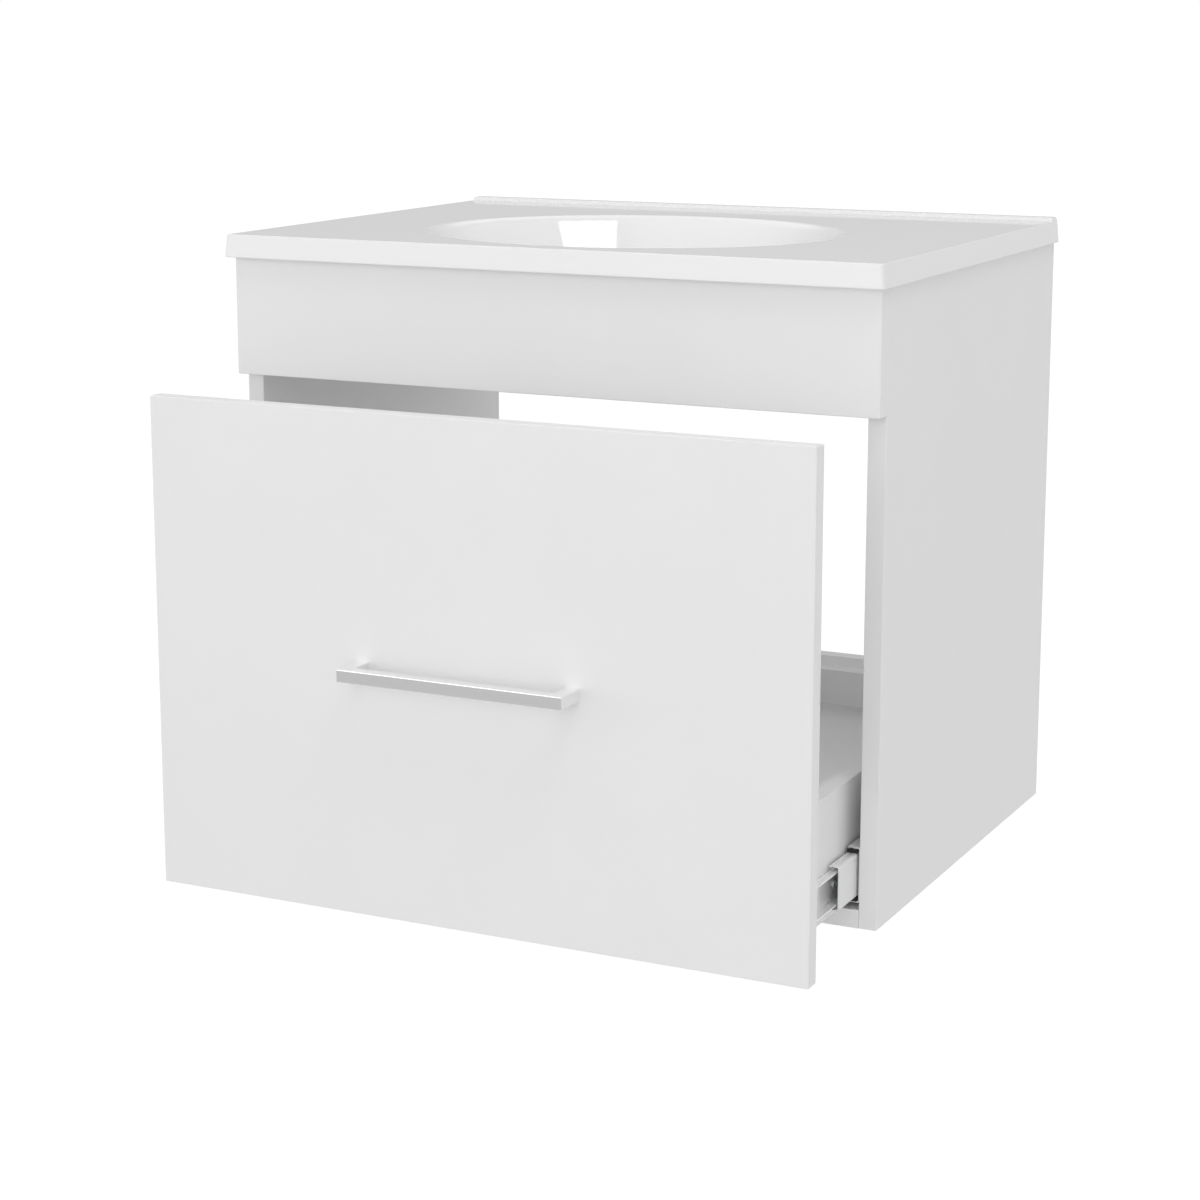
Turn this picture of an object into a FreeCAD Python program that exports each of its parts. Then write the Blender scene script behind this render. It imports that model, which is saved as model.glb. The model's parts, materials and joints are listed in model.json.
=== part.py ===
import FreeCAD, Part
import math
import os
import re
import Sketcher

# Wall-hung vanity unit: a board cabinet with one deep drawer on telescopic ball slides, under a
# moulded basin top. Millimetres, +Z up, the front faces -Y. The origin is on the wall plane, midway
# between the two upper wall screws. The drawer stands part open, as far as drawer_open says.

SIZES = {
    # Cabinet boards
    "cabinet_width": 571.0,
    "cabinet_depth": 418.0,
    "cabinet_height": 505.0,
    "board": 15.0,
    "edge_round": 0.8,
    "fascia_height": 98.0,
    "front_rail_depth": 70.0,
    "rear_rail_height": 100.0,
    "rear_rail_lift": 12.0,
    # Wall screws
    "fixing_drop": 50.0,
    "fixing_inset": 70.5,
    "fixing_bore": 7.0,
    # Knock-down fittings that join the boards
    "cam_diameter": 15.0,
    "cam_depth": 12.0,
    "cam_inset": 34.0,
    "cam_slot": 2.0,
    "cam_slot_length": 10.0,
    "cam_bolt_diameter": 7.0,
    "cam_bolt_bite": 11.0,
    "dowel_diameter": 8.0,
    "dowel_bite": 11.0,
    "dowel_reach": 19.0,
    "dowel_pitch": 24.0,
    "fit_clearance": 0.1,
    # Basin top
    "side_overhang": 4.5,
    "front_overhang": 24.5,
    "lip_height": 19.0,
    "lip_width": 27.0,
    "deck_thickness": 10.0,
    "draft_angle": 4.5,
    "basin_corner": 2.0,
    "basin_edge": 1.2,
    "bead_height": 3.3,
    "bead_depth": 13.0,
    "bead_ledge": 0.5,
    "bead_edge": 1.5,
    # Oval bowl
    "bowl_length": 362.0,
    "bowl_width": 318.0,
    "bowl_depth": 100.0,
    "bowl_margin": 23.5,
    "bowl_wall": 9.0,
    "rim_round": 11.0,
    "rim_angle": 10.0,
    "wall_angle": 58.0,
    "floor_round": 70.0,
    "floor_angle": 5.0,
    # Waste fitting
    "flange_diameter": 60.0,
    "flange_thickness": 2.5,
    "seat_margin": 1.0,
    "tail_diameter": 33.0,
    "tail_wall": 2.5,
    "tail_length": 37.0,
    "outlet_step": 0.5,
    "outlet_length": 12.0,
    "drain_slack": 1.5,
    "grid_bar": 2.5,
    "grid_depth": 4.0,
    "grid_bite": 0.6,
    "gasket_thickness": 1.0,
    "boss_margin": 8.0,
    "washer_diameter": 56.0,
    "washer_thickness": 4.0,
    "nut_across_flats": 46.0,
    "nut_thickness": 9.0,
    # Drawer
    "front_gap": 2.0,
    "front_clear": 1.0,
    "drawer_open": 126.0,
    "drawer_travel": 400.0,
    "drawer_board": 15.0,
    "drawer_end_gap": 4.0,
    "drawer_foot_gap": 2.5,
    "drawer_side_height": 100.0,
    "drawer_floor_lift": 73.5,
    "drawer_back_height": 100.0,
    "drawer_back_lift": 19.5,
    "drawer_cam_lift": 45.0,
    "drawer_screw_diameter": 5.0,
    "drawer_screw_length": 50.0,
    "drawer_screw_head": 9.0,
    "back_screw_pitch": 22.0,
    "floor_screw_inset": 60.0,
    # Bar handle
    "handle_length": 195.0,
    "handle_bar": 10.0,
    "handle_leg": 11.0,
    "handle_reach": 30.6,
    "handle_edge": 0.7,
    "handle_screw_diameter": 4.0,
    "handle_screw_bite": 10.0,
    "handle_screw_head": 8.0,
    "handle_screw_cap": 2.4,
    # Telescopic slides
    "slide_space": 12.7,
    "slide_height": 45.0,
    "slide_foot_gap": 5.5,
    "slide_setback": 2.0,
    "slide_end_gap": 1.0,
    "steel": 1.2,
    "bend_inside": 0.8,
    "run_gap": 0.3,
    "tip_gap": 1.1,
    "middle_short": 33.0,
    "drawer_member_short": 6.0,
    "ball_diameter": 4.0,
    "ball_space": 3.2,
    "ball_clearance": 0.15,
    "ball_margin": 10.0,
    "cage_sheet": 0.5,
    "cage_lip": 0.8,
    "cage_short": 0.8,
    "cage_gap": 3.0,
    "guide_length": 10.0,
    "guide_nose": 2.0,
    "bumper_length": 8.0,
    "bumper_gap": 1.0,
    "bumper_height": 16.0,
    "slide_screw_diameter": 4.0,
    "slide_screw_length": 13.0,
    "slide_screw_head": 7.0,
    "slide_screw_cap": 2.0,
    "slide_screw_inset": 35.0,
    "slide_hole_pitch": 32.0,
}
BALLS_PER_ROW = 6

# Places and sizes that follow from the driving ones
TERMS = {
    "side_in": "cabinet_width / 2 - board",
    "top": "fixing_drop",
    "bottom": "fixing_drop - cabinet_height",
    "front": "-cabinet_depth",
    "mid_board": "board / 2",
    "fascia_middle": "top - fascia_height / 2",
    "upper_rail_middle": "top - rear_rail_height / 2",
    "lower_rail_middle": "bottom + rear_rail_lift + rear_rail_height / 2",
    "deck": "top + lip_height",
    "basin_depth": "cabinet_depth + front_overhang",
    "basin_half": "cabinet_width / 2 + side_overhang",
    "bead_margin": "lip_height * tan(draft_angle * 1 deg) + basin_edge + bead_ledge",
    "bowl_y": "front - front_overhang + bowl_margin + bowl_width / 2",
    "seat_depth": "gasket_thickness + flange_thickness",
    "seat": "deck - bowl_depth - seat_depth",
    "boss_foot": "seat - bowl_wall",
    "drain_radius": "tail_diameter / 2 + drain_slack",
    "tail_bore": "tail_diameter - 2 * tail_wall",
    "outlet_radius": "tail_diameter / 2 - outlet_step",
    "outlet_top": "outlet_length - tail_length",
    "front_back": "front - front_clear - drawer_open",
    "front_height": "cabinet_height - fascia_height - front_gap",
    "drawer_out": "side_in - slide_space",
    "drawer_in": "drawer_out - drawer_board",
    "drawer_foot": "bottom + board + drawer_foot_gap",
    "drawer_floor": "drawer_foot + drawer_floor_lift",
    "drawer_back_foot": "drawer_foot + drawer_back_lift",
    "drawer_length": "cabinet_depth + front_clear - board - drawer_end_gap",
    "drawer_end": "front_back + drawer_length",
    "handle_z": "bottom + front_height / 2",
    "handle_half": "handle_length / 2",
    "handle_gap": "handle_half - handle_leg",
    "slide_length": "cabinet_depth - slide_setback - board - slide_end_gap",
    "slide_z": "bottom + board + slide_foot_gap + slide_height / 2",
    "slide_start": "front + slide_setback",
    "middle_length": "slide_length - middle_short",
    "middle_setback": "middle_short - bumper_length - bumper_gap",
    "middle_start": "slide_start + middle_setback - drawer_open / 2",
    "drawer_member_length": "slide_length - drawer_member_short",
    "drawer_member_start": "slide_start - drawer_open",
    "outer_cage_setback": "guide_length + drawer_travel / 4 + cage_gap",
    "outer_cage_end": "middle_setback + middle_length - drawer_travel / 4 - 2 * cage_gap",
    "outer_cage_length": "outer_cage_end - outer_cage_setback",
    "outer_cage_start": "slide_start + outer_cage_setback - drawer_open / 4",
    "inner_cage_setback": "middle_setback + drawer_travel / 4 + cage_gap",
    "inner_cage_end": "drawer_member_length - drawer_travel / 4 - 2 * cage_gap",
    "inner_cage_length": "inner_cage_end - inner_cage_setback",
    "inner_cage_start": "slide_start + inner_cage_setback - drawer_open * 3 / 4",
    "outer_cage_web": "steel + run_gap",
    "middle_web": "outer_cage_web + cage_sheet + run_gap",
    "inner_cage_web": "middle_web + steel + run_gap",
    "drawer_member_tip": "inner_cage_web + cage_sheet + run_gap",
    "flange_reach": "slide_space - steel - tip_gap",
    "cage_reach": "flange_reach - cage_short",
    "ball_line": "(drawer_member_tip + flange_reach) / 2",
    "outer_half": "slide_height / 2",
    "outer_ball_v": "outer_half - steel - ball_space / 2",
    "middle_half": "outer_half - steel - ball_space",
    "inner_ball_v": "middle_half - steel - ball_space / 2",
    "inner_half": "middle_half - steel - ball_space",
}

SIDES = (("left", -1), ("right", 1))
AXES = {
    "+x": FreeCAD.Rotation(FreeCAD.Vector(0, 1, 0), 90),
    "-x": FreeCAD.Rotation(FreeCAD.Vector(0, 1, 0), -90),
    "+y": FreeCAD.Rotation(FreeCAD.Vector(1, 0, 0), -90),
    "-y": FreeCAD.Rotation(FreeCAD.Vector(1, 0, 0), 90),
    "+z": FreeCAD.Rotation(),
    "-z": FreeCAD.Rotation(FreeCAD.Vector(1, 0, 0), 180),
}

doc = FreeCAD.newDocument("vanity_unit")
sheet = doc.addObject("Spreadsheet::Sheet", "Sizes")
for row, (alias, size) in enumerate(SIZES.items(), start=1):
    sheet.set(f"A{row}", alias)
    sheet.set(f"B{row}", str(size))
    sheet.setAlias(f"B{row}", alias)
doc.recompute()
nodes = []


def spell(word):
    """One word of a formula as the sheet knows it."""
    if word in TERMS:
        return f"({formula(TERMS[word])})"
    if word in SIZES:
        return f"Sizes.{word}"
    return word


def formula(text):
    """A formula in plain words, spelt out in cells of the sheet."""
    return re.sub(r"[a-z_]+", lambda found: spell(found.group(0)), str(text))


def value(text):
    """The number that a formula gives."""
    return float(sheet.evalExpression(formula(text)))


def bind(thing, prop, text):
    thing.setExpression(prop, formula(text))


def put(thing, x, y, z):
    """Bind the place of an object."""
    for axis, text in zip("xyz", (x, y, z)):
        bind(thing, f"Placement.Base.{axis}", text)
    return thing


def node(thing, label):
    """Give a finished sub-part the name of its file."""
    thing.Label = label
    nodes.append(thing)
    return thing


def block(name, lengths, centre):
    """A box about its centre."""
    box = doc.addObject("Part::Box", name)
    for prop, length in zip(("Length", "Width", "Height"), lengths):
        bind(box, prop, length)
    return put(box, *(f"{middle} - ({length}) / 2" for middle, length in zip(centre, lengths)))


def rod(name, radius, length, start, axis):
    """A cylinder from a point along a signed axis."""
    cylinder = doc.addObject("Part::Cylinder", name)
    cylinder.Placement.Rotation = AXES[axis]
    bind(cylinder, "Radius", radius)
    bind(cylinder, "Height", length)
    return put(cylinder, *start)


def cone(name, wide, narrow, length, start, axis):
    """A cone that narrows from a point along a signed axis."""
    taper = doc.addObject("Part::Cone", name)
    taper.Placement.Rotation = AXES[axis]
    bind(taper, "Radius1", wide)
    bind(taper, "Radius2", narrow)
    bind(taper, "Height", length)
    return put(taper, *start)


def bundle(name, things):
    """Separate solids as one object."""
    group = doc.addObject("Part::Compound", name)
    group.Links = things
    return group


def cut(name, base, tools):
    """A base less some tools that stay clear of each other."""
    less = doc.addObject("Part::Cut", name)
    less.Base = base
    less.Tool = bundle(f"{name}_tools", tools) if len(tools) > 1 else tools[0]
    return less


def fuse(name, things):
    """Overlapping solids as one."""
    whole = doc.addObject("Part::MultiFuse", name)
    whole.Shapes = things
    whole.Refine = True
    return whole


def rounded(name, base, size):
    """A board with its edges eased by the edge band."""
    doc.recompute()
    eased = doc.addObject("Part::Fillet", name)
    eased.Base = base
    radius = value(size)
    eased.Edges = [(index + 1, radius, radius) for index in range(len(base.Shape.Edges))]
    return eased


def sketch_on(body, name, role):
    """A sketch on one of a body's own origin planes."""
    plane = next(item for item in body.Origin.OriginFeatures if item.Role == role)
    sketch = body.newObject("Sketcher::SketchObject", name)
    sketch.AttachmentSupport = [(plane, "")]
    sketch.MapMode = "FlatFace"
    return sketch


def pin_point(sketch, geometry, end, x, y):
    """Hold a point of a sketch at two bound distances from its origin."""
    for kind, text in (("DistanceX", x), ("DistanceY", y)):
        row = sketch.addConstraint(Sketcher.Constraint(kind, -1, 1, geometry, end, value(text)))
        bind(sketch, f"Constraints[{row}]", text)


def outline(sketch, points):
    """A closed run of straight lines through bound points."""
    spots = [FreeCAD.Vector(value(x), value(y), 0) for x, y in points]
    lines = [sketch.addGeometry(Part.LineSegment(here, there), False)
             for here, there in zip(spots, spots[1:] + spots[:1])]
    for line, after in zip(lines, lines[1:] + lines[:1]):
        sketch.addConstraint(Sketcher.Constraint("Coincident", line, 2, after, 1))
    for line, (x, y) in zip(lines, points):
        pin_point(sketch, line, 1, x, y)


def rectangle(half_width, near, far):
    """Corners of a rectangle that is centred across and runs from near to far."""
    return [(f"-({half_width})", near), (half_width, near), (half_width, far), (f"-({half_width})", far)]


def pad(body, name, sketch, length, backwards=False):
    """A sketch carried along its normal."""
    solid = body.newObject("PartDesign::Pad", name)
    solid.Profile = sketch
    solid.Reversed = backwards
    bind(solid, "Length", length)
    doc.recompute()
    return solid


def ease(body, name, radius, chosen):
    """Fillet the edges of a body that a test picks."""
    shape = body.Tip.Shape
    names = [f"Edge{index + 1}" for index, edge in enumerate(shape.Edges) if chosen(edge)]
    soft = body.newObject("PartDesign::Fillet", name)
    soft.Base = (body.Tip if body.Tip != soft else soft.BaseFeature, names)
    bind(soft, "Radius", radius)
    doc.recompute()
    return soft


def near(first, second):
    return abs(first - second) < 1e-4


def turned(name, points, place):
    """A profile of radius and height points turned about the vertical."""
    body = doc.addObject("PartDesign::Body", name)
    sketch = sketch_on(body, f"{name}_profile", "XZ_Plane")
    outline(sketch, points)
    solid = body.newObject("PartDesign::Revolution", f"{name}_turn")
    solid.Profile = sketch
    solid.ReferenceAxis = (sketch, ["V_Axis"])
    solid.Angle = 360
    return put(body, *place)


# Knock-down fittings: each joint has a bolt, the cam that draws it in and a dowel either side.
# A joint is a point on the plane where two boards meet, the way into the board that holds the cam,
# the way that the cam's face looks, and the axis along which the dowels stand apart.

def along(point, axis, distance):
    """A point moved along a signed axis."""
    moved = list(point)
    index = "xyz".index(axis[1])
    moved[index] = f"{moved[index]} {axis[0]} ({distance})"
    return moved


class Joint:
    """One cam joint, with its loose pieces and the bores that they need."""

    def __init__(self, name, point, inward, cam_face, spread, sheet="board"):
        flip = {"+": "-", "-": "+"}
        outward = flip[inward[0]] + inward[1]
        into_board = flip[cam_face[0]] + cam_face[1]
        bolt_start = along(point, outward, "cam_bolt_bite")
        cam_start = along(along(point, inward, "cam_inset"), cam_face, f"{sheet} / 2")
        self.bolt = rod(f"{name}_bolt", "cam_bolt_diameter / 2", "cam_bolt_bite + cam_inset",
                        bolt_start, inward)
        self.bolt_bore = rod(f"{name}_bolt_bore", "cam_bolt_diameter / 2 + fit_clearance",
                             "cam_bolt_bite + cam_inset + fit_clearance", bolt_start, inward)
        disc = rod(f"{name}_disc", "cam_diameter / 2", "cam_depth", cam_start, into_board)
        slot_size = ["cam_slot", "cam_slot", "cam_slot"]
        slot_size["xyz".index(inward[1])] = "cam_slot_length"
        slot = block(f"{name}_slot", slot_size, cam_start)
        self.cam = cut(f"{name}_cam", cut(f"{name}_slotted", disc, [slot]), [self.bolt_bore])
        self.cam_bore = rod(f"{name}_cam_bore", "cam_diameter / 2 + fit_clearance", "cam_depth",
                            cam_start, into_board)
        self.dowels = []
        self.dowel_bores = []
        for way in ("+", "-"):
            mark = "upper" if way == "+" else "lower"
            start = along(along(point, way + spread, "dowel_pitch"), outward, "dowel_bite")
            self.dowels.append(rod(f"{name}_{mark}_dowel", "dowel_diameter / 2",
                                   "dowel_bite + dowel_reach", start, inward))
            self.dowel_bores.append(rod(f"{name}_{mark}_dowel_bore", "dowel_diameter / 2 + fit_clearance",
                                        "dowel_bite + dowel_reach", start, inward))

    def plain_bores(self):
        """The bores of the board that the bolt screws into."""
        return [self.bolt_bore] + self.dowel_bores


def joined(name, board, plain=(), cams=()):
    """A board with the bores of its joints."""
    bores = [bore for joint in list(plain) + list(cams) for bore in joint.plain_bores()]
    bored = cut(f"{name}_bored", board, bores) if bores else board
    return cut(f"{name}_cam_bored", bored, [joint.cam_bore for joint in cams]) if cams else bored


rail_joints = {}
fascia_joints = {}
for side, hand in SIDES:
    inward = "-x" if hand > 0 else "+x"
    wall = f"{hand} * (side_in)"
    rail_joints[side] = {
        "front_bottom_rail": Joint(f"{side}_front_rail", (wall, "front + front_rail_depth / 2",
                                   "bottom + mid_board"), inward, "-z", "y"),
        "rear_bottom_rail": Joint(f"{side}_low_rail", (wall, "-mid_board", "lower_rail_middle"),
                                  inward, "+y", "z"),
        "rear_top_rail": Joint(f"{side}_high_rail", (wall, "-mid_board", "upper_rail_middle"),
                               inward, "+y", "z"),
    }
    fascia_joints[side] = Joint(f"{side}_fascia", (f"{hand} * (side_in + mid_board)", "front",
                                "fascia_middle"), "+y", inward, "z")

# Slide screws come before the boards that they bore. Each cabinet screw is countersunk flush with the
# web of the channel, and each drawer screw has a low head inside the drawer's own channel.
screw_steps = ("0", "2 * slide_hole_pitch", "slide_length - 2 * slide_screw_inset")


def countersunk(name, shank, length, head, start, axis, slack):
    """A countersunk screw whose head is flush with its start, grown by a slack."""
    shaft = rod(f"{name}_shank", f"{shank} / 2 + {slack}", length, start, axis)
    sink = cone(f"{name}_head", f"{head} / 2 + {slack}", f"{shank} / 2 + {slack}",
                f"({head} - {shank}) / 2", start, axis)
    return fuse(name, [shaft, sink])


cabinet_screws = {}
cabinet_screw_bores = {}
drawer_slide_screws = {}
drawer_slide_bores = {}
for side, hand in SIDES:
    outward = "+x" if hand > 0 else "-x"
    inward = "-x" if hand > 0 else "+x"
    cabinet_screws[side] = []
    cabinet_screw_bores[side] = []
    drawer_slide_screws[side] = []
    drawer_slide_bores[side] = []
    for index, step in enumerate(screw_steps):
        place = (f"{hand} * (side_in - steel)", f"slide_start + slide_screw_inset + {step}", "slide_z")
        for bag, slack, mark in ((cabinet_screws, "0", "screw"),
                                 (cabinet_screw_bores, "fit_clearance", "bore")):
            bag[side].append(countersunk(f"{side}_cabinet_{mark}_{index}", "slide_screw_diameter",
                                         "slide_screw_length", "slide_screw_head", place, outward, slack))
        base = (f"{hand} * (drawer_out + steel)",
                f"drawer_member_start + slide_screw_inset + {step}", "slide_z")
        shank = rod(f"{side}_drawer_shank_{index}", "slide_screw_diameter / 2", "slide_screw_length",
                    base, inward)
        head = rod(f"{side}_drawer_head_{index}", "slide_screw_head / 2", "slide_screw_cap", base, outward)
        drawer_slide_screws[side].append(fuse(f"{side}_drawer_screw_{index}", [shank, head]))
        drawer_slide_bores[side].append(rod(f"{side}_drawer_bore_{index}",
                                            "slide_screw_diameter / 2 + fit_clearance",
                                            "slide_screw_length", base, inward))

# Cabinet boards
for side, hand in SIDES:
    panel = block(f"{side}_panel_board", ("board", "cabinet_depth", "cabinet_height"),
                  (f"{hand} * (side_in + mid_board)", "front / 2", "(top + bottom) / 2"))
    panel = rounded(f"{side}_panel_eased", panel, "edge_round")
    panel = joined(f"{side}_panel", panel, rail_joints[side].values(), [fascia_joints[side]])
    node(cut(f"{side}_panel_screwed", panel, cabinet_screw_bores[side]), f"{side}_side_panel")

fascia = block("fascia_board", ("cabinet_width", "board", "fascia_height"),
               ("0", "front - mid_board", "fascia_middle"))
fascia = rounded("fascia_eased", fascia, "edge_round")
node(joined("fascia", fascia, fascia_joints.values()), "front_fascia")

rail_boards = {
    "front_bottom_rail": block("front_rail_board", ("2 * side_in", "front_rail_depth", "board"),
                               ("0", "front + front_rail_depth / 2", "bottom + mid_board")),
    "rear_bottom_rail": block("low_rail_board", ("2 * side_in", "board", "rear_rail_height"),
                              ("0", "-mid_board", "lower_rail_middle")),
    "rear_top_rail": block("high_rail_board", ("2 * side_in", "board", "rear_rail_height"),
                           ("0", "-mid_board", "upper_rail_middle")),
}
wall_rows = {"rear_bottom_rail": "lower_rail_middle", "rear_top_rail": "0"}
for name, board in rail_boards.items():
    rail = joined(name, board, cams=[rail_joints[side][name] for side, _ in SIDES])
    if name in wall_rows:
        holes = [rod(f"{name}_{side}_hole", "fixing_bore / 2", "board",
                     (f"{hand} * (side_in - fixing_inset)", "0", wall_rows[name]), "-y")
                 for side, hand in SIDES]
        rail = cut(f"{name}_drilled", rail, holes)
    node(rail, name)

carcass_joints = [joint for side, _ in SIDES for joint in rail_joints[side].values()]
carcass_joints += list(fascia_joints.values())
node(bundle("carcass_cam_set", [joint.cam for joint in carcass_joints]), "carcass_cams")
node(bundle("carcass_bolt_set", [joint.bolt for joint in carcass_joints]), "carcass_cam_bolts")
node(bundle("carcass_dowel_set", [dowel for joint in carcass_joints for dowel in joint.dowels]),
     "carcass_dowels")

# Basin top: a drafted slab with a deep lip all round and a bead along the wall, hollow below the deck
slab = doc.addObject("PartDesign::Body", "basin_slab")
slab_sketch = sketch_on(slab, "slab_outline", "XY_Plane")
outline(slab_sketch, rectangle("basin_half", "-basin_depth", "0"))
slab_pad = pad(slab, "slab_pad", slab_sketch, "lip_height")
bind(slab_pad, "TaperAngle", "-draft_angle")
doc.recompute()
ease(slab, "slab_corners", "basin_corner", lambda edge: edge.BoundBox.ZLength > value("lip_height") / 2)
lip_top = value("lip_height")
ease(slab, "slab_edge", "basin_edge",
     lambda edge: near(edge.BoundBox.ZMin, lip_top) and near(edge.BoundBox.ZMax, lip_top))
bead_sketch = sketch_on(slab, "bead_outline", "XY_Plane")
outline(bead_sketch, rectangle("basin_half - bead_margin", "-bead_margin - bead_depth", "-bead_margin"))
pad(slab, "bead_pad", bead_sketch, "lip_height + bead_height")
bead_top = value("lip_height + bead_height")
ease(slab, "bead_edge_round", "bead_edge",
     lambda edge: near(edge.BoundBox.ZMin, bead_top) and near(edge.BoundBox.ZMax, bead_top))
put(slab, "0", "0", "top")
hollow = block("deck_hollow", ("2 * basin_half - 2 * lip_width", "basin_depth - 2 * lip_width",
                               "lip_height - deck_thickness"),
               ("0", "-basin_depth / 2", "top + (lip_height - deck_thickness) / 2"))
shell = cut("basin_hollowed", slab, [hollow])


def bowl_profile(offset):
    """Line and arc ends of the bowl's section, rim to drain, pushed outwards by an offset.

    The section falls away from the deck at rim_angle, bends over rim_round to a straight wall at
    wall_angle, bends back over floor_round and runs to the drain at floor_angle. The lengths of the
    wall and the floor are the two that make the section as deep and as long as the bowl.
    """
    rim, wall, floor = (math.radians(value(name)) for name in ("rim_angle", "wall_angle", "floor_angle"))
    rim_round = value("rim_round")
    floor_round = value("floor_round")
    run = value("bowl_length / 2 - drain_radius")
    run -= rim_round * (math.sin(wall) - math.sin(rim)) + floor_round * (math.sin(wall) - math.sin(floor))
    fall = value("bowl_depth")
    fall -= rim_round * (math.cos(rim) - math.cos(wall)) + floor_round * (math.cos(floor) - math.cos(wall))
    turn = math.sin(wall - floor)
    wall_length = (fall * math.cos(floor) - run * math.sin(floor)) / turn
    floor_length = (run * math.sin(wall) - fall * math.cos(wall)) / turn
    radius = value("bowl_length / 2")
    height = 0.0
    spots = []

    def mark(angle):
        spots.append(FreeCAD.Vector(radius + offset * math.sin(angle), 0, height - offset * math.cos(angle)))

    mark(rim)
    for start, end, bend, straight in ((rim, wall, rim_round, wall_length),
                                       (wall, floor, floor_round, floor_length)):
        for first, last in ((start, (start + end) / 2), ((start + end) / 2, end)):
            radius -= bend * abs(math.sin(last) - math.sin(first))
            height -= bend * abs(math.cos(first) - math.cos(last))
            mark(last)
        radius -= straight * math.cos(end)
        height -= straight * math.sin(end)
        mark(end)
    return spots


def bowl_solid(name, offset, mouth, flare):
    """The bowl's section, carried up to a mouth, turned about the drain axis and narrowed to the oval."""
    spots = bowl_profile(offset)
    crown = FreeCAD.Vector(spots[0].x + flare * (mouth - spots[0].z), 0, mouth)
    axis_top = FreeCAD.Vector(0, 0, crown.z)
    axis_foot = FreeCAD.Vector(0, 0, spots[-1].z)
    edges = [Part.Arc(*spots[0:3]).toShape(), Part.LineSegment(spots[2], spots[3]).toShape(),
             Part.Arc(*spots[3:6]).toShape(), Part.LineSegment(spots[5], spots[6]).toShape(),
             Part.LineSegment(spots[6], axis_foot).toShape(), Part.LineSegment(axis_foot, axis_top).toShape(),
             Part.LineSegment(axis_top, crown).toShape(), Part.LineSegment(crown, spots[0]).toShape()]
    face = Part.Face(Part.Wire(Part.sortEdges(edges)[0]))
    turned_solid = face.revolve(FreeCAD.Vector(), FreeCAD.Vector(0, 0, 1), 360)
    oval = FreeCAD.Matrix()
    oval.A22 = value("bowl_width / bowl_length")
    bowl = doc.addObject("Part::Feature", name)
    bowl.Shape = turned_solid.transformGeometry(oval)
    return put(bowl, "0", "bowl_y", "deck")


bowl_outside = bowl_solid("bowl_outside", value("bowl_wall"), value("-deck_thickness / 2"), 0.0)
rim_slope = 1 / math.tan(math.radians(value("rim_angle")))
bowl_inside = bowl_solid("bowl_inside", 0.0, value("bead_ledge"), rim_slope)
drain_axis = ("0", "bowl_y")
boss = rod("drain_boss", "flange_diameter / 2 + boss_margin", "bowl_wall * 2 + seat_depth",
           (*drain_axis, "boss_foot"), "+z")
seat_bore = rod("seat_bore", "flange_diameter / 2 + seat_margin", "bowl_depth", (*drain_axis, "seat"), "+z")
drain_bore = rod("drain_bore", "drain_radius", "bowl_wall * 2", (*drain_axis, "seat"), "-z")
cast = fuse("basin_cast", [shell, bowl_outside, boss])
cast = cut("basin_bowled", cast, [bowl_inside])
cast = cut("basin_seated", cast, [seat_bore])
node(cut("basin_drained", cast, [drain_bore]), "basin_top")

# Waste fitting: a flanged tail with a cross grid and an outlet spigot, two seals and a lock nut
tail = turned("drain_tail", [
    ("tail_bore / 2", "-tail_length"), ("outlet_radius", "-tail_length"), ("outlet_radius", "outlet_top"),
    ("tail_diameter / 2", "outlet_top"), ("tail_diameter / 2", "0"),
    ("flange_diameter / 2", "0"), ("flange_diameter / 2", "flange_thickness / 2"),
    ("flange_diameter / 2 - flange_thickness", "flange_thickness"),
    ("tail_bore / 2 + flange_thickness", "flange_thickness"), ("tail_bore / 2", "0")],
    (*drain_axis, "seat + gasket_thickness"))
grid_top = "seat + gasket_thickness"
bars = [block(f"grid_{mark}", size, (*drain_axis, f"{grid_top} - grid_depth / 2")) for mark, size in (
    ("across", ("tail_bore + 2 * grid_bite", "grid_bar", "grid_depth")),
    ("along", ("grid_bar", "tail_bore + 2 * grid_bite", "grid_depth")))]
node(fuse("drain_flange_whole", [tail] + bars), "drain_flange")

gasket = turned("gasket_ring", [
    ("tail_diameter / 2 + fit_clearance", "0"), ("flange_diameter / 2 - fit_clearance", "0"),
    ("flange_diameter / 2 - fit_clearance", "gasket_thickness"),
    ("tail_diameter / 2 + fit_clearance", "gasket_thickness")], (*drain_axis, "seat"))
node(gasket, "drain_gasket")

washer = turned("washer_ring", [
    ("tail_diameter / 2 + fit_clearance", "-washer_thickness"),
    ("washer_diameter / 2 - washer_thickness", "-washer_thickness"), ("washer_diameter / 2", "0"),
    ("tail_diameter / 2 + fit_clearance", "0")], (*drain_axis, "boss_foot"))
node(washer, "drain_washer")

nut_blank = doc.addObject("Part::Prism", "nut_blank")
nut_blank.Polygon = 6
bind(nut_blank, "Circumradius", "nut_across_flats / 2 / cos(30 deg)")
bind(nut_blank, "Height", "nut_thickness")
put(nut_blank, *drain_axis, "boss_foot - washer_thickness - nut_thickness")
nut_bore = rod("nut_bore", "tail_diameter / 2 + fit_clearance", "nut_thickness",
               (*drain_axis, "boss_foot - washer_thickness"), "-z")
node(cut("lock_nut", nut_blank, [nut_bore]), "drain_lock_nut")

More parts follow.
